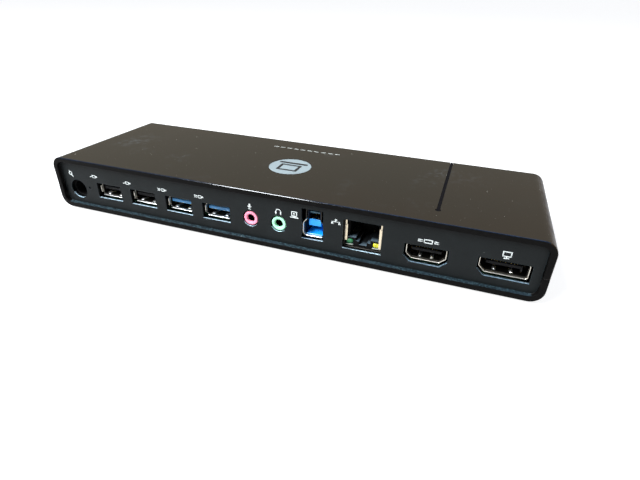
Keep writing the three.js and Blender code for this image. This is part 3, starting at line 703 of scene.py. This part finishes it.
def merged(*solids):
    """Several solids as one mesh; a solid may come with the number of its material."""
    bm = bmesh.new()
    for solid in solids:
        if isinstance(solid, tuple):
            merge(bm, solid[0], solid[1])
        else:
            merge(bm, solid)
    return bm


def pierced(solid, cutters):
    """A solid with others cut out of it."""
    holders = []
    for bm in (solid, merged(*cutters)):
        mesh = bpy.data.meshes.new("temporary")
        bmesh.ops.recalc_face_normals(bm, faces=bm.faces)
        bm.to_mesh(mesh)
        bm.free()
        holder = bpy.data.objects.new("temporary", mesh)
        bpy.context.scene.collection.objects.link(holder)
        holders.append(holder)
    cut = holders[0].modifiers.new("cut", "BOOLEAN")
    cut.operation = "DIFFERENCE"
    cut.solver = "EXACT"
    cut.use_self = True
    cut.object = holders[1]
    evaluated = holders[0].evaluated_get(bpy.context.evaluated_depsgraph_get())
    result = bmesh.new()
    result.from_mesh(evaluated.to_mesh())
    evaluated.to_mesh_clear()
    for holder in holders:
        mesh = holder.data
        bpy.data.objects.remove(holder)
        bpy.data.meshes.remove(mesh)
    return result


# ---- the casing ----

HAIR = 0.01 * MM
RIM_DEPTH = 1.2 * MM
TOP_DEPTH = 1.3 * MM
JOINT_LIP = 1.2 * MM
UNDERSIDE_TOP = 2.5 * MM
LEDGE_TOP = tray_low.z + 6 * MM
PANEL_MIDDLE_Z = (panel_low.z + panel_high.z) / 2
PANEL_CORNER = 2.5 * MM
PANEL_CORNER_RISE = 7.5 * MM
OPENING_CHAMFER = 0.58 * MM
PINHOLE_X = middle_of("power_lamp").x
PINHOLE_REACH = 1.5 * MM
VIDEO_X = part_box("hdmi_shell")[0].x - 2 * MM
SHADED_RIM, DUSTY_LEDGE, FLANK, NEAR_EDGE = range(1, 5)


def near_rim(point):
    """True close to the two ends of the case, outside the panels."""
    return point.y < case_low.y + RIM_DEPTH or point.y > case_high.y - RIM_DEPTH


def on_top(point):
    """True close to the top face."""
    return point.z > case_high.z - TOP_DEPTH


def cover_look(node, face):
    """The number of the material on one face of a casing shell."""
    middle = face.calc_center_median()
    normal = face.normal
    past_panel = abs(middle.y) > -panel_low.y - 0.1 * MM
    inwards = normal.dot(Vector((middle.x, 0, middle.z - PANEL_MIDDLE_Z))) < 0
    # Recess walls and the casing's end faces take the darker rim copy: painted shade.
    if past_panel and inwards:
        return DUSTY_LEDGE if normal.z > 0.93 and middle.z < LEDGE_TOP else SHADED_RIM
    if abs(normal.y) > 0.75:
        return SHADED_RIM
    # The flanks take a warm brown painted reflection.
    if abs(normal.x) > 0.3 and node == "top_cover":
        return FLANK
    # Of the top's rounded edges, the far one takes the darker rim copy as painted shade, the near one a
    # painted blue reflection.
    if abs(normal.y) > 0.12 and on_top(middle):
        return SHADED_RIM if normal.y > 0 else NEAR_EDGE
    return 0


def make_cover(node, edge_mm, fine_mm):
    """A casing shell: softly rounded rims, and crisp edges round its pockets and along its joint."""
    bm = cad_copy(node)
    round_edges(bm, edge_mm * MM, 3, 40, near_rim)
    joint_z = tray_high.z - JOINT_LIP

    def visible(point):
        at_joint = abs(point.x) > case_high.x - HAIR and abs(point.z - joint_z) < MM
        return not near_rim(point) and (on_top(point) or point.z < UNDERSIDE_TOP or at_joint)

    round_edges(bm, fine_mm * MM, 2, 40, visible)
    for face in bm.faces:
        face.material_index = cover_look(node, face)
    finish_node(node, bm, [LOOKS[SLOTS[node]], SHADED_RIM_BLACK, LEDGE, FLANK_BLACK_PAINTED_REFLECTION, EDGE_GLOSS_PAINTED_REFLECTION])


def make_port_panel():
    """The socket panel, its openings chamfered at the front, with a painted pale blue reflection on their
    lower edges.
    """
    bm = cad_copy("port_panel")

    def round_opening(point):
        height = abs(point.z - PANEL_MIDDLE_Z)
        corner = abs(point.x) > panel_high.x - PANEL_CORNER and height > PANEL_CORNER_RISE
        side = abs(point.x) > panel_high.x - 0.1 * MM
        end = height > panel_high.z - PANEL_MIDDLE_Z - 0.1 * MM
        return point.y < panel_low.y + HAIR and not (corner or side or end)

    round_edges(bm, OPENING_CHAMFER, 1, 40, round_opening)
    round_edges(bm, 0.04 * MM, 2, 30, lambda point: point.y < panel_low.y + 0.3 * MM)
    # Lower faces of the openings take the pale blue material as a painted reflection; past the video
    # sockets, a dimmer copy.
    for face in bm.faces:
        middle = face.calc_center_median()
        pinhole = abs(middle.x - PINHOLE_X) < PINHOLE_REACH
        lower_edge = face.normal.z > 0.5 and middle.z < panel_high.z - MM and not pinhole
        face.material_index = int(lower_edge) * (2 if middle.x > VIDEO_X else 1)
    finish_node("port_panel", bm, [LOOKS["panel"], CUT_EDGE_PAINTED_REFLECTION, DULL_CUT_EDGE_PAINTED_REFLECTION])


make_cover("top_cover", 0.55, 0.07)
make_cover("bottom_cover", 0.3, 0.12)
make_port_panel()
refined("front_panel", 0.15)
refined("badge", 0.1)
refined("light_pipe", 0.1, where=on_top)
refined("rating_label", 0.04)
for index in range(1, 5):
    refined(f"foot_{index}", 0.5, 3, where=lambda point: point.z < 0.4 * MM)

# ---- sheet-metal sockets ----

SHEET = 0.32
SEAT_GAP = 0.06
LIP_DEPTH = 1.15
LEG_WIDTH = 1.6
LEG_TOP = -0.65
SLIT_DEPTH = 0.95
TONGUE_LOW = -0.1


class Socket:
    """A socket's place and size, from its CAD shell and the moulding that fills it."""

    def __init__(self, shell_node, core_node):
        shell_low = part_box(shell_node)[0]
        core_width, _, core_height = size_of(core_node)
        self.place = middle_of(core_node)
        self.place.y = shell_low.y
        self.half_width = core_width + SEAT_GAP
        self.half_height = core_height + SEAT_GAP
        self.depth = size_of(shell_node)[1]
        self.board = (shell_low.z - self.place.z) / MM


def sheet_shell(socket, corners, radius, flare):
    """Sheet metal folded round an opening: closed at the back, and flared at the mouth."""
    depth = socket.depth
    stations = [
        (depth, SHEET), (1.3, SHEET), (0.9, SHEET + 0.06 * flare), (0.45, SHEET + 0.36 * flare),
        (0.12, SHEET + 0.8 * flare), (0.0, SHEET + flare), (-0.08, SHEET * 0.8 + flare),
        (-0.12, SHEET * 0.4 + flare * 0.9), (-0.06, flare * 0.74), (0.2, flare * 0.4), (0.6, flare * 0.12),
        (1.1, 0.0), (depth - SHEET, 0.0),
    ]
    return loft([upright(outline(corners, radius, grow), y) for y, grow in stations])


def shell_legs(socket):
    """The four legs that stand a shell on the board."""
    return [
        block((x, y, socket.board), (x + SHEET, y + LEG_WIDTH, LEG_TOP), 0.06, 1)
        for y in (2.5, socket.depth - 3)
        for x in (-socket.half_width - SHEET, socket.half_width)
    ]


def spring_tab(x, width, front, reach, wall_z, side):
    """A tab bent from a shell's wall into the opening; side is 1 on the floor and -1 on the roof."""
    shape = [(1.0, 0.0), (0.78, 0.06), (0.5, 0.34), (0.3, 0.58), (0.18, 0.6), (0.08, 0.46), (0.0, 0.16)]
    path = [(front + reach * along, wall_z + side * rise) for along, rise in shape]
    return strip(path, width, SHEET * 0.8, x)


def paint_lip(body, material, where):
    """Gives part of a shell's mouth another material, such as a dark copy of the nickel as painted shadow
    under the panel's edge.
    """
    for face in body.faces:
        middle = face.calc_center_median()
        if middle.y < LIP_DEPTH and where(middle):
            face.material_index = material


def tabbed_shell(name, socket, corners, radius, flare, tab_xs, tab_width, tab_front, tab_reach, flap_half):
    """A finished shell: sprung tabs in windows in its floor and roof, and slit corners at its mouth."""
    openings = []
    tabs = []
    for side in (1, -1):
        wall_z = -side * (socket.half_height + SHEET / 2)
        for x in tab_xs:
            half = tab_width / 2 + 0.3
            low = (x - half, tab_front - 0.35, wall_z - SHEET)
            openings.append(block(low, (x + half, tab_front - 0.1 + tab_reach, wall_z + SHEET), 0))
            tabs.append(spring_tab(x, tab_width, tab_front, tab_reach, wall_z, side))
        for end in (1, -1):
            if flap_half:
                near, far = sorted((end * flap_half, end * (socket.half_width + 2)))
                low_z, high_z = sorted((wall_z + side * 1.05, wall_z - side * 2))
                openings.append(block((near, -1, low_z), (far, SLIT_DEPTH, high_z), 0))
    body = pierced(sheet_shell(socket, corners, radius, flare), openings)
    roof = socket.half_height - 0.05
    floor = 0.02 - socket.half_height
    # The roof lip lies in the panel's shade: painted shadow.
    paint_lip(body, PAINTED_SHADOW, lambda middle: middle.z > roof)
    # The floor lip between the slits, and the tabs below, get the bright nickel: painted highlight.
    paint_lip(body, PAINTED_HIGHLIGHT, lambda middle: middle.z < floor and abs(middle.x) < flap_half)
    bm = merged(body, *[(tab, PAINTED_HIGHLIGHT) for tab in tabs], *shell_legs(socket))
    finish_node(name, bm, SHELL_STEELS, socket.place)


def seat(socket, corners, radius, root):
    """The block at the back of a shell that carries the tongue."""
    fitted = outline(corners, radius, -SEAT_GAP)
    return plate(fitted, root, socket.depth - SHEET - SEAT_GAP)


def tongue_blade(half_width, low_z, high_z, front, root):
    """A flat tongue with chamfered front edges."""
    middle = (low_z + high_z) / 2
    half = (high_z - low_z) / 2
    stations = [(front, 0.28), (front + 0.35, 0.0), (root + 0.5, 0.0)]
    return loft([
        upright(outline(rectangle(half_width - inset, half - inset, 0, middle), 0.15, 0, 2), y)
        for y, inset in stations
    ])


def contact_row(count, pitch, width, z, y0, y1):
    """Flat contacts side by side on a face of a tongue, in the second material."""
    contacts = []
    for index in range(count):
        x = (index - (count - 1) / 2) * pitch
        low = (x - width / 2, y0, z - 0.06)
        contacts.append((block(low, (x + width / 2, y1, z + 0.06), 0.03, 1), 1))
    return contacts


def make_usb(number):
    """A peripheral socket: shell, tongue and four sliding contacts; the fast ones have five more."""
    socket = Socket(f"usb_shell_{number}", f"usb_tongue_{number}")
    corners = rectangle(socket.half_width, socket.half_height)
    radius = 0.45
    tabbed_shell(
        f"usb_shell_{number}", socket, corners, radius, flare=0.12, tab_xs=(-3.3, 3.3),
        tab_width=1.7, tab_front=1.1, tab_reach=4.6, flap_half=5.4,
    )
    node = f"usb_tongue_{number}"
    root = 9.4
    parts = [seat(socket, corners, radius, root), tongue_blade(5.6, TONGUE_LOW, 1.6, 1.25, root)]
    parts += contact_row(2, 2.0, 1.1, TONGUE_LOW, 3.2, root - 0.1)
    parts += contact_row(2, 7.0, 1.1, TONGUE_LOW, 2.6, root - 0.1)
    if SLOTS[node] == "blue":
        parts += contact_row(5, 2.0, 0.7, TONGUE_LOW, 1.55, 2.3)
    finish_node(node, merged(*parts), [LOOKS[SLOTS[node]], LOOKS["brass"]], socket.place)


def make_video_socket(kind, corners, tab_xs, tab_front, blade_half, root, pins, hook):
    """A screen socket: bevelled shell, sprung tabs, and a thin tongue with contacts on both faces."""
    socket = Socket(f"{kind}_shell", f"{kind}_tongue")
    fitted = corners(socket.half_width, socket.half_height)
    radius = 0.4
    tabbed_shell(
        f"{kind}_shell", socket, fitted, radius, flare=0.2, tab_xs=tab_xs,
        tab_width=1.3, tab_front=tab_front, tab_reach=4.2, flap_half=0,
    )
    top = 1.35
    parts = [
        seat(socket, fitted, radius, root),
        tongue_blade(blade_half, TONGUE_LOW, top, 1.25, root),
        *contact_row(pins, 1.0, 0.45, TONGUE_LOW, 1.9, root - 0.1),
        *contact_row(pins - 1, 1.0, 0.45, top, 1.9, root - 0.1),
    ]
    if hook:
        low = (blade_half - 0.7, 1.3, TONGUE_LOW - 0.9)
        parts.append(block(low, (blade_half, root + 0.3, TONGUE_LOW + 0.3), 0.12))
    finish_node(f"{kind}_tongue", merged(*parts), [LOOKS["black"], LOOKS["brass"]], socket.place)


def both_corners_cut(half_width, half_height):
    """A rectangle whose two lower corners are cut off."""
    run = 2.1
    rise = 1.89
    right = [
        (half_width - run, -half_height), (half_width, -half_height + rise), (half_width, half_height),
    ]
    return [(-half_width + run, -half_height), *right, *[(-x, z) for x, z in right[:0:-1]]]


def one_corner_cut(half_width, half_height):
    """A rectangle whose lower left corner is cut off."""
    bevel = 2.2
    return [
        (-half_width + bevel, -half_height), (half_width, -half_height), (half_width, half_height),
        (-half_width, half_height), (-half_width, -half_height + bevel),
    ]


for number in range(1, 5):
    make_usb(number)
make_video_socket(
    "hdmi", both_corners_cut, tab_xs=(-2.3, 2.3), tab_front=1.8,
    blade_half=5.8, root=8.5, pins=10, hook=False,
)
make_video_socket(
    "displayport", one_corner_cut, tab_xs=(-3.0, 3.0), tab_front=2.1,
    blade_half=6.5, root=10, pins=11, hook=True,
)


def make_host_port():
    """The upright socket for the laptop's cable: a lined, shouldered shell with two tongues."""
    socket = Socket("host_port_shell", "host_port_insulator")
    wide = socket.half_width
    top = socket.half_height
    neck = 2.9
    bevel = 0.85
    right = [(wide - bevel, -top), (wide, -top + bevel), (wide, -0.6), (neck, 1.2), (neck, top)]
    corners = right + [(-x, z) for x, z in reversed(right)]
    radius = 0.7
    can = sheet_shell(socket, corners, radius, 0.22)
    # The mouth's lip, all but its lower left, is painted dark: painted shadow.
    paint_lip(can, PAINTED_SHADOW, lambda middle: middle.x > -neck + 0.2 or middle.z > 1.6)
    # The lower lip gets the bright nickel: painted highlight.
    paint_lip(can, PAINTED_HIGHLIGHT, lambda middle: middle.z < 0.1 - top and abs(middle.x) < wide - 0.5)
    finish_node("host_port_shell", merged(can, *shell_legs(socket)), SHELL_STEELS, socket.place)
    front = 0.75
    back = socket.depth - SHEET - SEAT_GAP
    root = 11.5
    lining = 0.45
    stations = [
        (back, -SEAT_GAP), (front + 0.15, -SEAT_GAP), (front, -SEAT_GAP - 0.12),
        (front, -lining + 0.08), (front + 0.2, -lining - SEAT_GAP), (root, -lining - SEAT_GAP),
    ]
    looks = [LOOKS["bright_blue"], LOOKS["brass"], SHADED_BLUE, LIP_BLUE_PAINTED_HIGHLIGHT, SHADED_SLATE_BLUE]
    shaded, lip, slate = 2, 3, 4
    cup = loft([upright(outline(corners, radius, grow), y) for y, grow in stations])
    for face in cup.faces:
        middle = face.calc_center_median()
        face.material_index = shaded if middle.z > -1.2 or middle.x < -wide + 1.2 else 0
        # The lower front lip takes the pale blue: painted highlight.
        if middle.y < front + 0.25 and middle.z < -top + 1.0 and abs(middle.x) < wide - 0.9:
            face.material_index = lip
    main_low, main_high, fast_low, fast_high = -2.1, 1.0, 3.4, 4.4
    main_tongue = tongue_blade(2.8, main_low, main_high, 1.5, root)
    for face in main_tongue.faces:
        if face.calc_center_median().z > main_high - 0.1:
            face.material_index = shaded
    # The fast tongue takes the dark grey-blue copy of the insulator's blue: painted shade.
    bm = merged(
        main_tongue,
        (tongue_blade(2.7, fast_low, fast_high, 2.1, root), slate),
        *contact_row(2, 2.5, 0.9, main_high, 2.4, root),
        *contact_row(2, 2.5, 0.9, main_low, 2.4, root),
        *contact_row(5, 0.8, 0.4, fast_low, 2.6, root),
        cup,
    )
    finish_node("host_port_insulator", bm, looks, socket.place)


make_host_port()

# ---- network socket ----


def make_ethernet():
    """The network socket: metal can with a folded front, and stepped moulding with room for the lamps and
    pale ledges under them.
    """
    socket = Socket("ethernet_shell", "ethernet_insulator")
    side = socket.half_width
    rise = socket.half_height
    can = sheet_shell(socket, rectangle(side, rise), 0.3, 0.1)
    flanges = [
        block((-side - 0.02, 0.1, 3.2), (-side + 0.75, 0.4, rise + 0.02), 0.05, 1),
        block((-side - 0.02, 0.1, -3.6), (-side + 1.05, 0.4, 3.6), 0.05, 1),
        block((side - 0.6, 0.1, 3.4), (side + 0.02, 0.4, rise + 0.02), 0.05, 1),
        block((side - 1.05, 0.1, -5.2), (side + 0.02, 0.4, 3.8), 0.05, 1),
    ]
    # The can's whole lip is painted dark: painted shadow.
    paint_lip(can, PAINTED_SHADOW, lambda middle: True)
    shell = merged(can, *[(flange, STEEL) for flange in flanges], *shell_legs(socket))
    steels = [SHELL_STEELS[0], TAN_STEEL, SHELL_STEELS[PAINTED_SHADOW]]
    finish_node("ethernet_shell", shell, steels, socket.place)
    inner = side - SEAT_GAP
    top = rise - SEAT_GAP
    back = socket.depth - SHEET - SEAT_GAP
    mouth = 5.9
    cavity = [
        block((-mouth, -1, -2.2), (mouth, 13, 4.7), 0),
        block((-3.1, -1, -3.6), (3.1, 13, -1.2), 0),
        block((-1.7, -1, -5.1), (1.7, 13, -2.2), 0),
        block((-4.8, 2.8, 3.7), (4.8, 13, 5.65), 0),
        block((-inner - 1, -1, -2.25), (inner + 1, 1.6, 8), 0),
    ]
    ledges = []
    for lamp in ("link_lamp", "activity_lamp"):
        low, high = [(corner - socket.place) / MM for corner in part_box(lamp)]
        fit = Vector((SEAT_GAP, 0, SEAT_GAP))
        cavity.append(block(low - fit - Vector((0, 2, 0)), high + fit, 0))
        ledge_low = (low.x - 0.1, 0.15, low.z - 0.42)
        ledges.append((block(ledge_low, (high.x + 0.1, 0.75, low.z - 0.14), 0.05, 1), 2))
    body = pierced(block((-inner, 0.6, -top), (inner, back, top), 0.08, 1), cavity)
    round_edges(body, 0.09, 1, 60)
    # Only the low upward faces keep the slate moulding; the rest takes the near-black material as painted
    # shade.
    for face in body.faces:
        low = face.calc_center_median().z < -1.9 and face.normal.z > 0.5
        face.material_index = 0 if low else 1
    looks = [LOOKS["slate"], BLACK_PAINTED_SHADE, PALE_LEDGE]
    finish_node("ethernet_insulator", merged(body, *ledges), looks, socket.place)


def make_lamp(node):
    """A lamp in the network socket: a rounded lens with a domed face."""
    half_width, depth, half_height = size_of(node)
    dome = [(-0.45, -0.85), (-0.38, -0.55), (-0.2, -0.25), (0.05, -0.05), (0.3, 0.0)]
    stations = [*dome, (depth, 0.0)]
    corners = rectangle(half_width, half_height)
    lens = loft([upright(outline(corners, 0.9, grow, 5), y) for y, grow in stations])
    finish_node(node, lens, place=mouth_of(node))


make_ethernet()
make_lamp("link_lamp")
make_lamp("activity_lamp")
refined("ethernet_contacts", 0.08)

# ---- round sockets ----


def make_audio(kind):
    """A round audio socket: block behind the panel, rounded coloured nose and a bore painted near-black
    from 1.2 mm in, partly the body's black plastic and partly painted shade.
    """
    node = f"{kind}_socket"
    low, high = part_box(node)
    half_width, depth, _ = size_of(node)
    place = mouth_of(node)
    place.z = high.z - half_width * MM
    bottom = (low.z - place.z) / MM
    nose = 3.15
    bore = 1.8
    rounding = 0.32
    front = (panel_high.y - low.y) / MM + 0.1
    dark_from = 1.2
    quarter = [math.radians(90 * step / 4) for step in range(5)]
    outer = [
        (nose - rounding + rounding * math.cos(turn), rounding - rounding * math.sin(turn))
        for turn in quarter
    ]
    profile = [(nose - 0.3, front + 0.8), (nose, front + 0.5), *outer, (0.5, 0.0)]
    hole = [
        (bore + 0.35, -0.1), (bore + 0.08, 0.22), (bore, 0.5), (bore, dark_from), (bore, depth - 1),
    ]
    box = block((-half_width, front, bottom), (half_width, depth, half_width), 0.15)
    spring_room = block((0.9, depth - 7.7, -1.1), (nose, depth - 1, 1.1), 0)
    body = pierced(merged(box, turned(profile, 40)), [turned(hole, 32), spring_room])
    # The bore is near-black from 1.2 mm in: partly the body's black plastic, partly painted shade.
    for face in body.faces:
        middle = face.calc_center_median()
        in_bore = math.hypot(middle.x, middle.z) < bore + 0.02
        face.material_index = int(in_bore and middle.y > dark_from)
    finish_node(node, body, [LOOKS[SLOTS[node]], BLACK_PAINTED_SHADE], place)


for kind in ("microphone", "headphone"):
    make_audio(kind)
    refined(f"{kind}_spring", 0.06)
refined("power_socket_spring", 0.08)
# The jack's black body takes the near-black, low-gloss material: partly its own black, partly painted
# shade in the pit.
refined("power_socket_body", 0.2).data.materials[0] = BLACK_PAINTED_SHADE
refined("power_socket_pin", 0.45, 4)

# ---- parts on the board ----

FINE_PARTS = (
    "main_board", "video_chip", "thermal_pad", "memory_chip", "usb_hub_chip", "network_chip", "audio_chip",
)
for node in FINE_PARTS:
    refined(node, 0.1, 1)
for node in ("heat_sink", "network_transformer", "status_lamp", "power_lamp", "crystal"):
    refined(node, 0.15)
for node in ("power_inductor_1", "power_inductor_2", "capacitor_1", "capacitor_2", "capacitor_3"):
    refined(node, 0.35, 3)
for index in range(1, 5):
    refined(f"case_screw_{index}", 0.08, 1)

# ---- printed pictograms ----

INK_PROUD = 0.03
INK_STEP = 0.0015
INK_SUNK = 0.02


class Print:
    """Flat printed strokes, drawn in millimetres on a face; each lies a hair prouder than the last."""

    def __init__(self):
        self.bm = bmesh.new()
        self.proud = INK_PROUD

    def fill(self, points):
        """A filled outline."""
        self.proud += INK_STEP
        merge(self.bm, plate(points, -self.proud, INK_SUNK))

    def bar(self, start, end, width):
        """A straight stroke with rounded ends."""
        start = Vector(start)
        end = Vector(end)
        along = (end - start).normalized() * width / 2
        aside = Vector((-along.y, along.x))
        left = start - along
        right = end + along
        corners = [left - aside, right - aside, right + aside, left + aside]
        self.fill(outline([tuple(corner) for corner in corners], width * 0.45))

    def path(self, points, width):
        """Straight strokes from point to point."""
        for start, end in zip(points, points[1:]):
            self.bar(start, end, width)

    def frame(self, half_width, low, high, width, x=0.0):
        """The outline of a rectangle whose middle is at x."""
        corners = rectangle(half_width, (high - low) / 2, x, (low + high) / 2)
        self.path([*corners, corners[0]], width)

    def box(self, x, z, half_width, half_height):
        """A filled rectangle with rounded corners."""
        radius = min(half_width, half_height) * 0.3
        self.fill(outline(rectangle(half_width, half_height, x, z), radius))

    def arc(self, x, z, radius, start, end, width, steps=10):
        """A round stroke from one angle to another, in degrees."""
        turns = [math.radians(start + (end - start) * step / steps) for step in range(steps + 1)]
        outer, inner = [
            [Vector((x + reach * math.cos(turn), z + reach * math.sin(turn))) for turn in turns]
            for reach in (radius + width / 2, radius - width / 2)
        ]
        self.fill(outer + inner[::-1])


LINE = 0.34


def draw_power(ink):
    """A round plug with its lead."""
    ink.arc(0, 0.3, 0.8, 0, 360, 0.45, 16)
    ink.bar((0.55, -0.6), (1.15, -1.4), 0.5)
    ink.bar((-0.5, 1.2), (-0.5, 1.5), 0.4)


def draw_plug(ink):
    """A flat plug on a lead."""
    ink.bar((-2.0, -0.35), (-0.7, -0.05), LINE)
    ink.frame(0.85, -0.55, 0.55, LINE, x=0.25)
    ink.bar((1.2, 0), (1.9, 0), 0.7)


def draw_fast_plug(ink):
    """A flat plug behind two arrowheads."""
    for x in (-2.2, -1.4):
        ink.path([(x, -0.55), (x + 0.5, 0), (x, 0.55)], LINE)
    ink.frame(0.75, -0.55, 0.55, LINE, x=0.45)
    ink.bar((1.35, 0), (2.0, 0), 0.7)


def draw_microphone(ink):
    """A microphone on its stand."""
    ink.box(0, 0.55, 0.42, 0.75)
    ink.arc(0, 0.3, 0.78, 180, 360, 0.26)
    ink.bar((0, -0.5), (0, -1.1), 0.28)
    ink.bar((-0.55, -1.2), (0.55, -1.2), 0.28)


def draw_headphone(ink):
    """A pair of headphones."""
    ink.arc(0, 0.0, 1.1, 0, 180, 0.36)
    ink.box(-1.1, -0.65, 0.3, 0.65)
    ink.box(1.1, -0.65, 0.3, 0.65)


def draw_laptop(ink):
    """An open laptop."""
    ink.frame(1.1, -0.55, 1.35, 0.4)
    ink.bar((-1.6, -1.2), (1.6, -1.2), 0.5)
    ink.box(0, 0.4, 0.4, 0.3)


def draw_network(ink):
    """Three stations joined by a line."""
    ink.bar((-1.7, 0.0), (1.7, 0.0), 0.26)
    for x, z in ((-1.5, -0.75), (0.0, 0.75), (1.5, -0.75)):
        ink.box(x, z, 0.5, 0.38)
        ink.bar((x, 0), (x, z), 0.26)


def draw_wide_screen(ink):
    """A screen between two pairs of dashes."""
    ink.frame(1.5, -0.65, 0.65, 0.42)
    for side in (-1, 1):
        ink.bar((side * 2.3, 0.35), (side * 3.7, 0.35), 0.36)
        ink.bar((side * 2.3, -0.35), (side * 3.7, -0.35), 0.36)


def draw_screen(ink):
    """A screen on a stand."""
    ink.frame(1.4, -0.5, 1.35, 0.42)
    ink.bar((0, -0.7), (0, -1.2), 0.42)
    ink.bar((-0.8, -1.35), (0.8, -1.35), 0.42)


# Each pictogram stands this far to the side of the middle of its socket and this high over the tray.
PICTOGRAMS = [
    ("power", "power_socket_body", draw_power, -3.1, 17.0),
    ("plug_1", "usb_shell_1", draw_plug, -7.81, 17.5),
    ("plug_2", "usb_shell_2", draw_plug, -7.9, 17.3),
    ("fast_plug_3", "usb_shell_3", draw_fast_plug, -7.87, 17.1),
    ("fast_plug_4", "usb_shell_4", draw_fast_plug, -7.95, 17.1),
    ("microphone", "microphone_socket", draw_microphone, -0.1, 16.9),
    ("headphone", "headphone_socket", draw_headphone, 0.05, 16.9),
    ("laptop", "host_port_shell", draw_laptop, -7.9, 16.8),
    ("network", "ethernet_shell", draw_network, -11.0, 17.1),
    ("wide_screen", "hdmi_shell", draw_wide_screen, 0.35, 15.9),
    ("screen", "displayport_shell", draw_screen, -0.2, 16.3),
]

for label, node, draw, aside, height in PICTOGRAMS:
    ink = Print()
    draw(ink)
    place = Vector((middle_of(node).x + aside * MM, panel_low.y, tray_low.z + height * MM))
    finish_piece(f"pictogram_{label}", ink.bm, [INK], place)


def lay_on_top(piece):
    """Turns a print from the upright face it was drawn on to the top face, read from the far side."""
    for vert in piece.bm.verts:
        x, y, z = vert.co
        vert.co = Vector((-x, -z, -y))


def make_badge_mark():
    """A plain open laptop on the badge: the outline of its screen over the bar of its base."""
    ink = Print()
    ink.frame(4.4, -1.6, 4.8, 1.3)
    ink.bar((-6.2, -4.3), (6.2, -4.3), 1.8)
    lay_on_top(ink)
    place = middle_of("badge")
    place.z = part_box("badge")[1].z
    finish_piece("badge_mark", ink.bm, [BADGE_INK], place)


def make_dashes():
    """A plain row of printed dashes near the far edge of the top."""
    ink = Print()
    count = 10
    span = 36.8
    pitch = span / count
    for index in range(count):
        x = -span / 2 + pitch * (index + 0.5)
        ink.box(x, 0, pitch * 0.34, 0.38)
    lay_on_top(ink)
    place = Vector((-2.4 * MM, 22.5 * MM, case_high.z))
    finish_piece("printed_dashes", ink.bm, [FAINT_INK], place)


make_badge_mark()
make_dashes()

# ---- stage and lighting ----


def make_floor():
    """A plain pale floor that reaches to the horizon."""
    half = 60.0
    drop = 0.1 * MM
    bm = bmesh.new()
    bm.faces.new([bm.verts.new((x, y, -drop)) for x, y in rectangle(half, half)])
    mesh = bpy.data.meshes.new("floor")
    bm.to_mesh(mesh)
    bm.free()
    shader = Shader("floor_paper", (0.32, 0.32, 0.32), 0.9, specular=0.1)
    shader.cloud((0.31, 0.31, 0.31), 0.35, 0.75, per_mm=0.01, detail=3.0)
    shader.set("Emission Color", (1.0, 1.0, 1.0, 1.0))
    shader.set("Emission Strength", 0.88)
    mesh.materials.append(shader.done())
    floor = bpy.data.objects.new("floor", mesh)
    bpy.context.scene.collection.objects.link(floor)


def area_light(name, place, size, watts, color):
    """A soft rectangular lamp that looks at the middle of the floor, its first side level along X."""
    lamp = bpy.data.lights.new(name, "AREA")
    lamp.shape = "RECTANGLE"
    lamp.size, lamp.size_y = size
    lamp.energy = watts
    lamp.color = color
    holder = bpy.data.objects.new(name, lamp)
    holder.location = place
    away = Vector(place).normalized()
    level = (Vector((1, 0, 0)) - away * away.x).normalized()
    holder.rotation_euler = Matrix((level, away.cross(level), away)).transposed().to_euler()
    bpy.context.scene.collection.objects.link(holder)


def make_world():
    """A soft studio surround: pale and warm behind the object, dim in front, cool overhead."""
    world = bpy.data.worlds.new("studio")
    world.use_nodes = True
    nodes = Nodes(world.node_tree)
    place = nodes.add("ShaderNodeTexCoord").outputs["Generated"]

    def between(axis, low, high):
        inputs = {"Value": nodes.axis(place, axis), "From Min": low, "From Max": high}
        return nodes.add("ShaderNodeMapRange", inputs).outputs["Result"]

    front = (0.138, 0.166, 0.202, 1.0)
    back = (0.296, 0.272, 0.225, 1.0)
    overhead = (0.13, 0.21, 0.38, 1.0)
    horizon = (1.1, 1.1, 1.1, 1.0)
    sides = nodes.mix("RGBA", between("Y", -0.45, 0.45), front, back)
    upper = nodes.mix("RGBA", between("Z", 0.6, 0.95), sides, overhead)
    whole = nodes.mix("RGBA", between("Z", 0.16, 0.06), upper, horizon)
    background = world.node_tree.nodes["Background"]
    nodes.feed(background.inputs["Color"], whole)
    nodes.feed(background.inputs["Strength"], 1.0)
    bpy.context.scene.world = world


make_floor()
make_world()
area_light("overhead", (0.1, 0.7, 1.2), (0.9, 0.5), 2.5, (1.0, 0.99, 0.97))
area_light("window", (-0.49, -0.57, 0.91), (0.27, 0.75), 40.0, (0.93, 0.97, 1.0))
area_light("front", (0.7, -1.0, 0.55), (0.5, 0.5), 1.0, (1.0, 0.95, 0.88))
bpy.context.scene.view_settings.view_transform = "Standard"
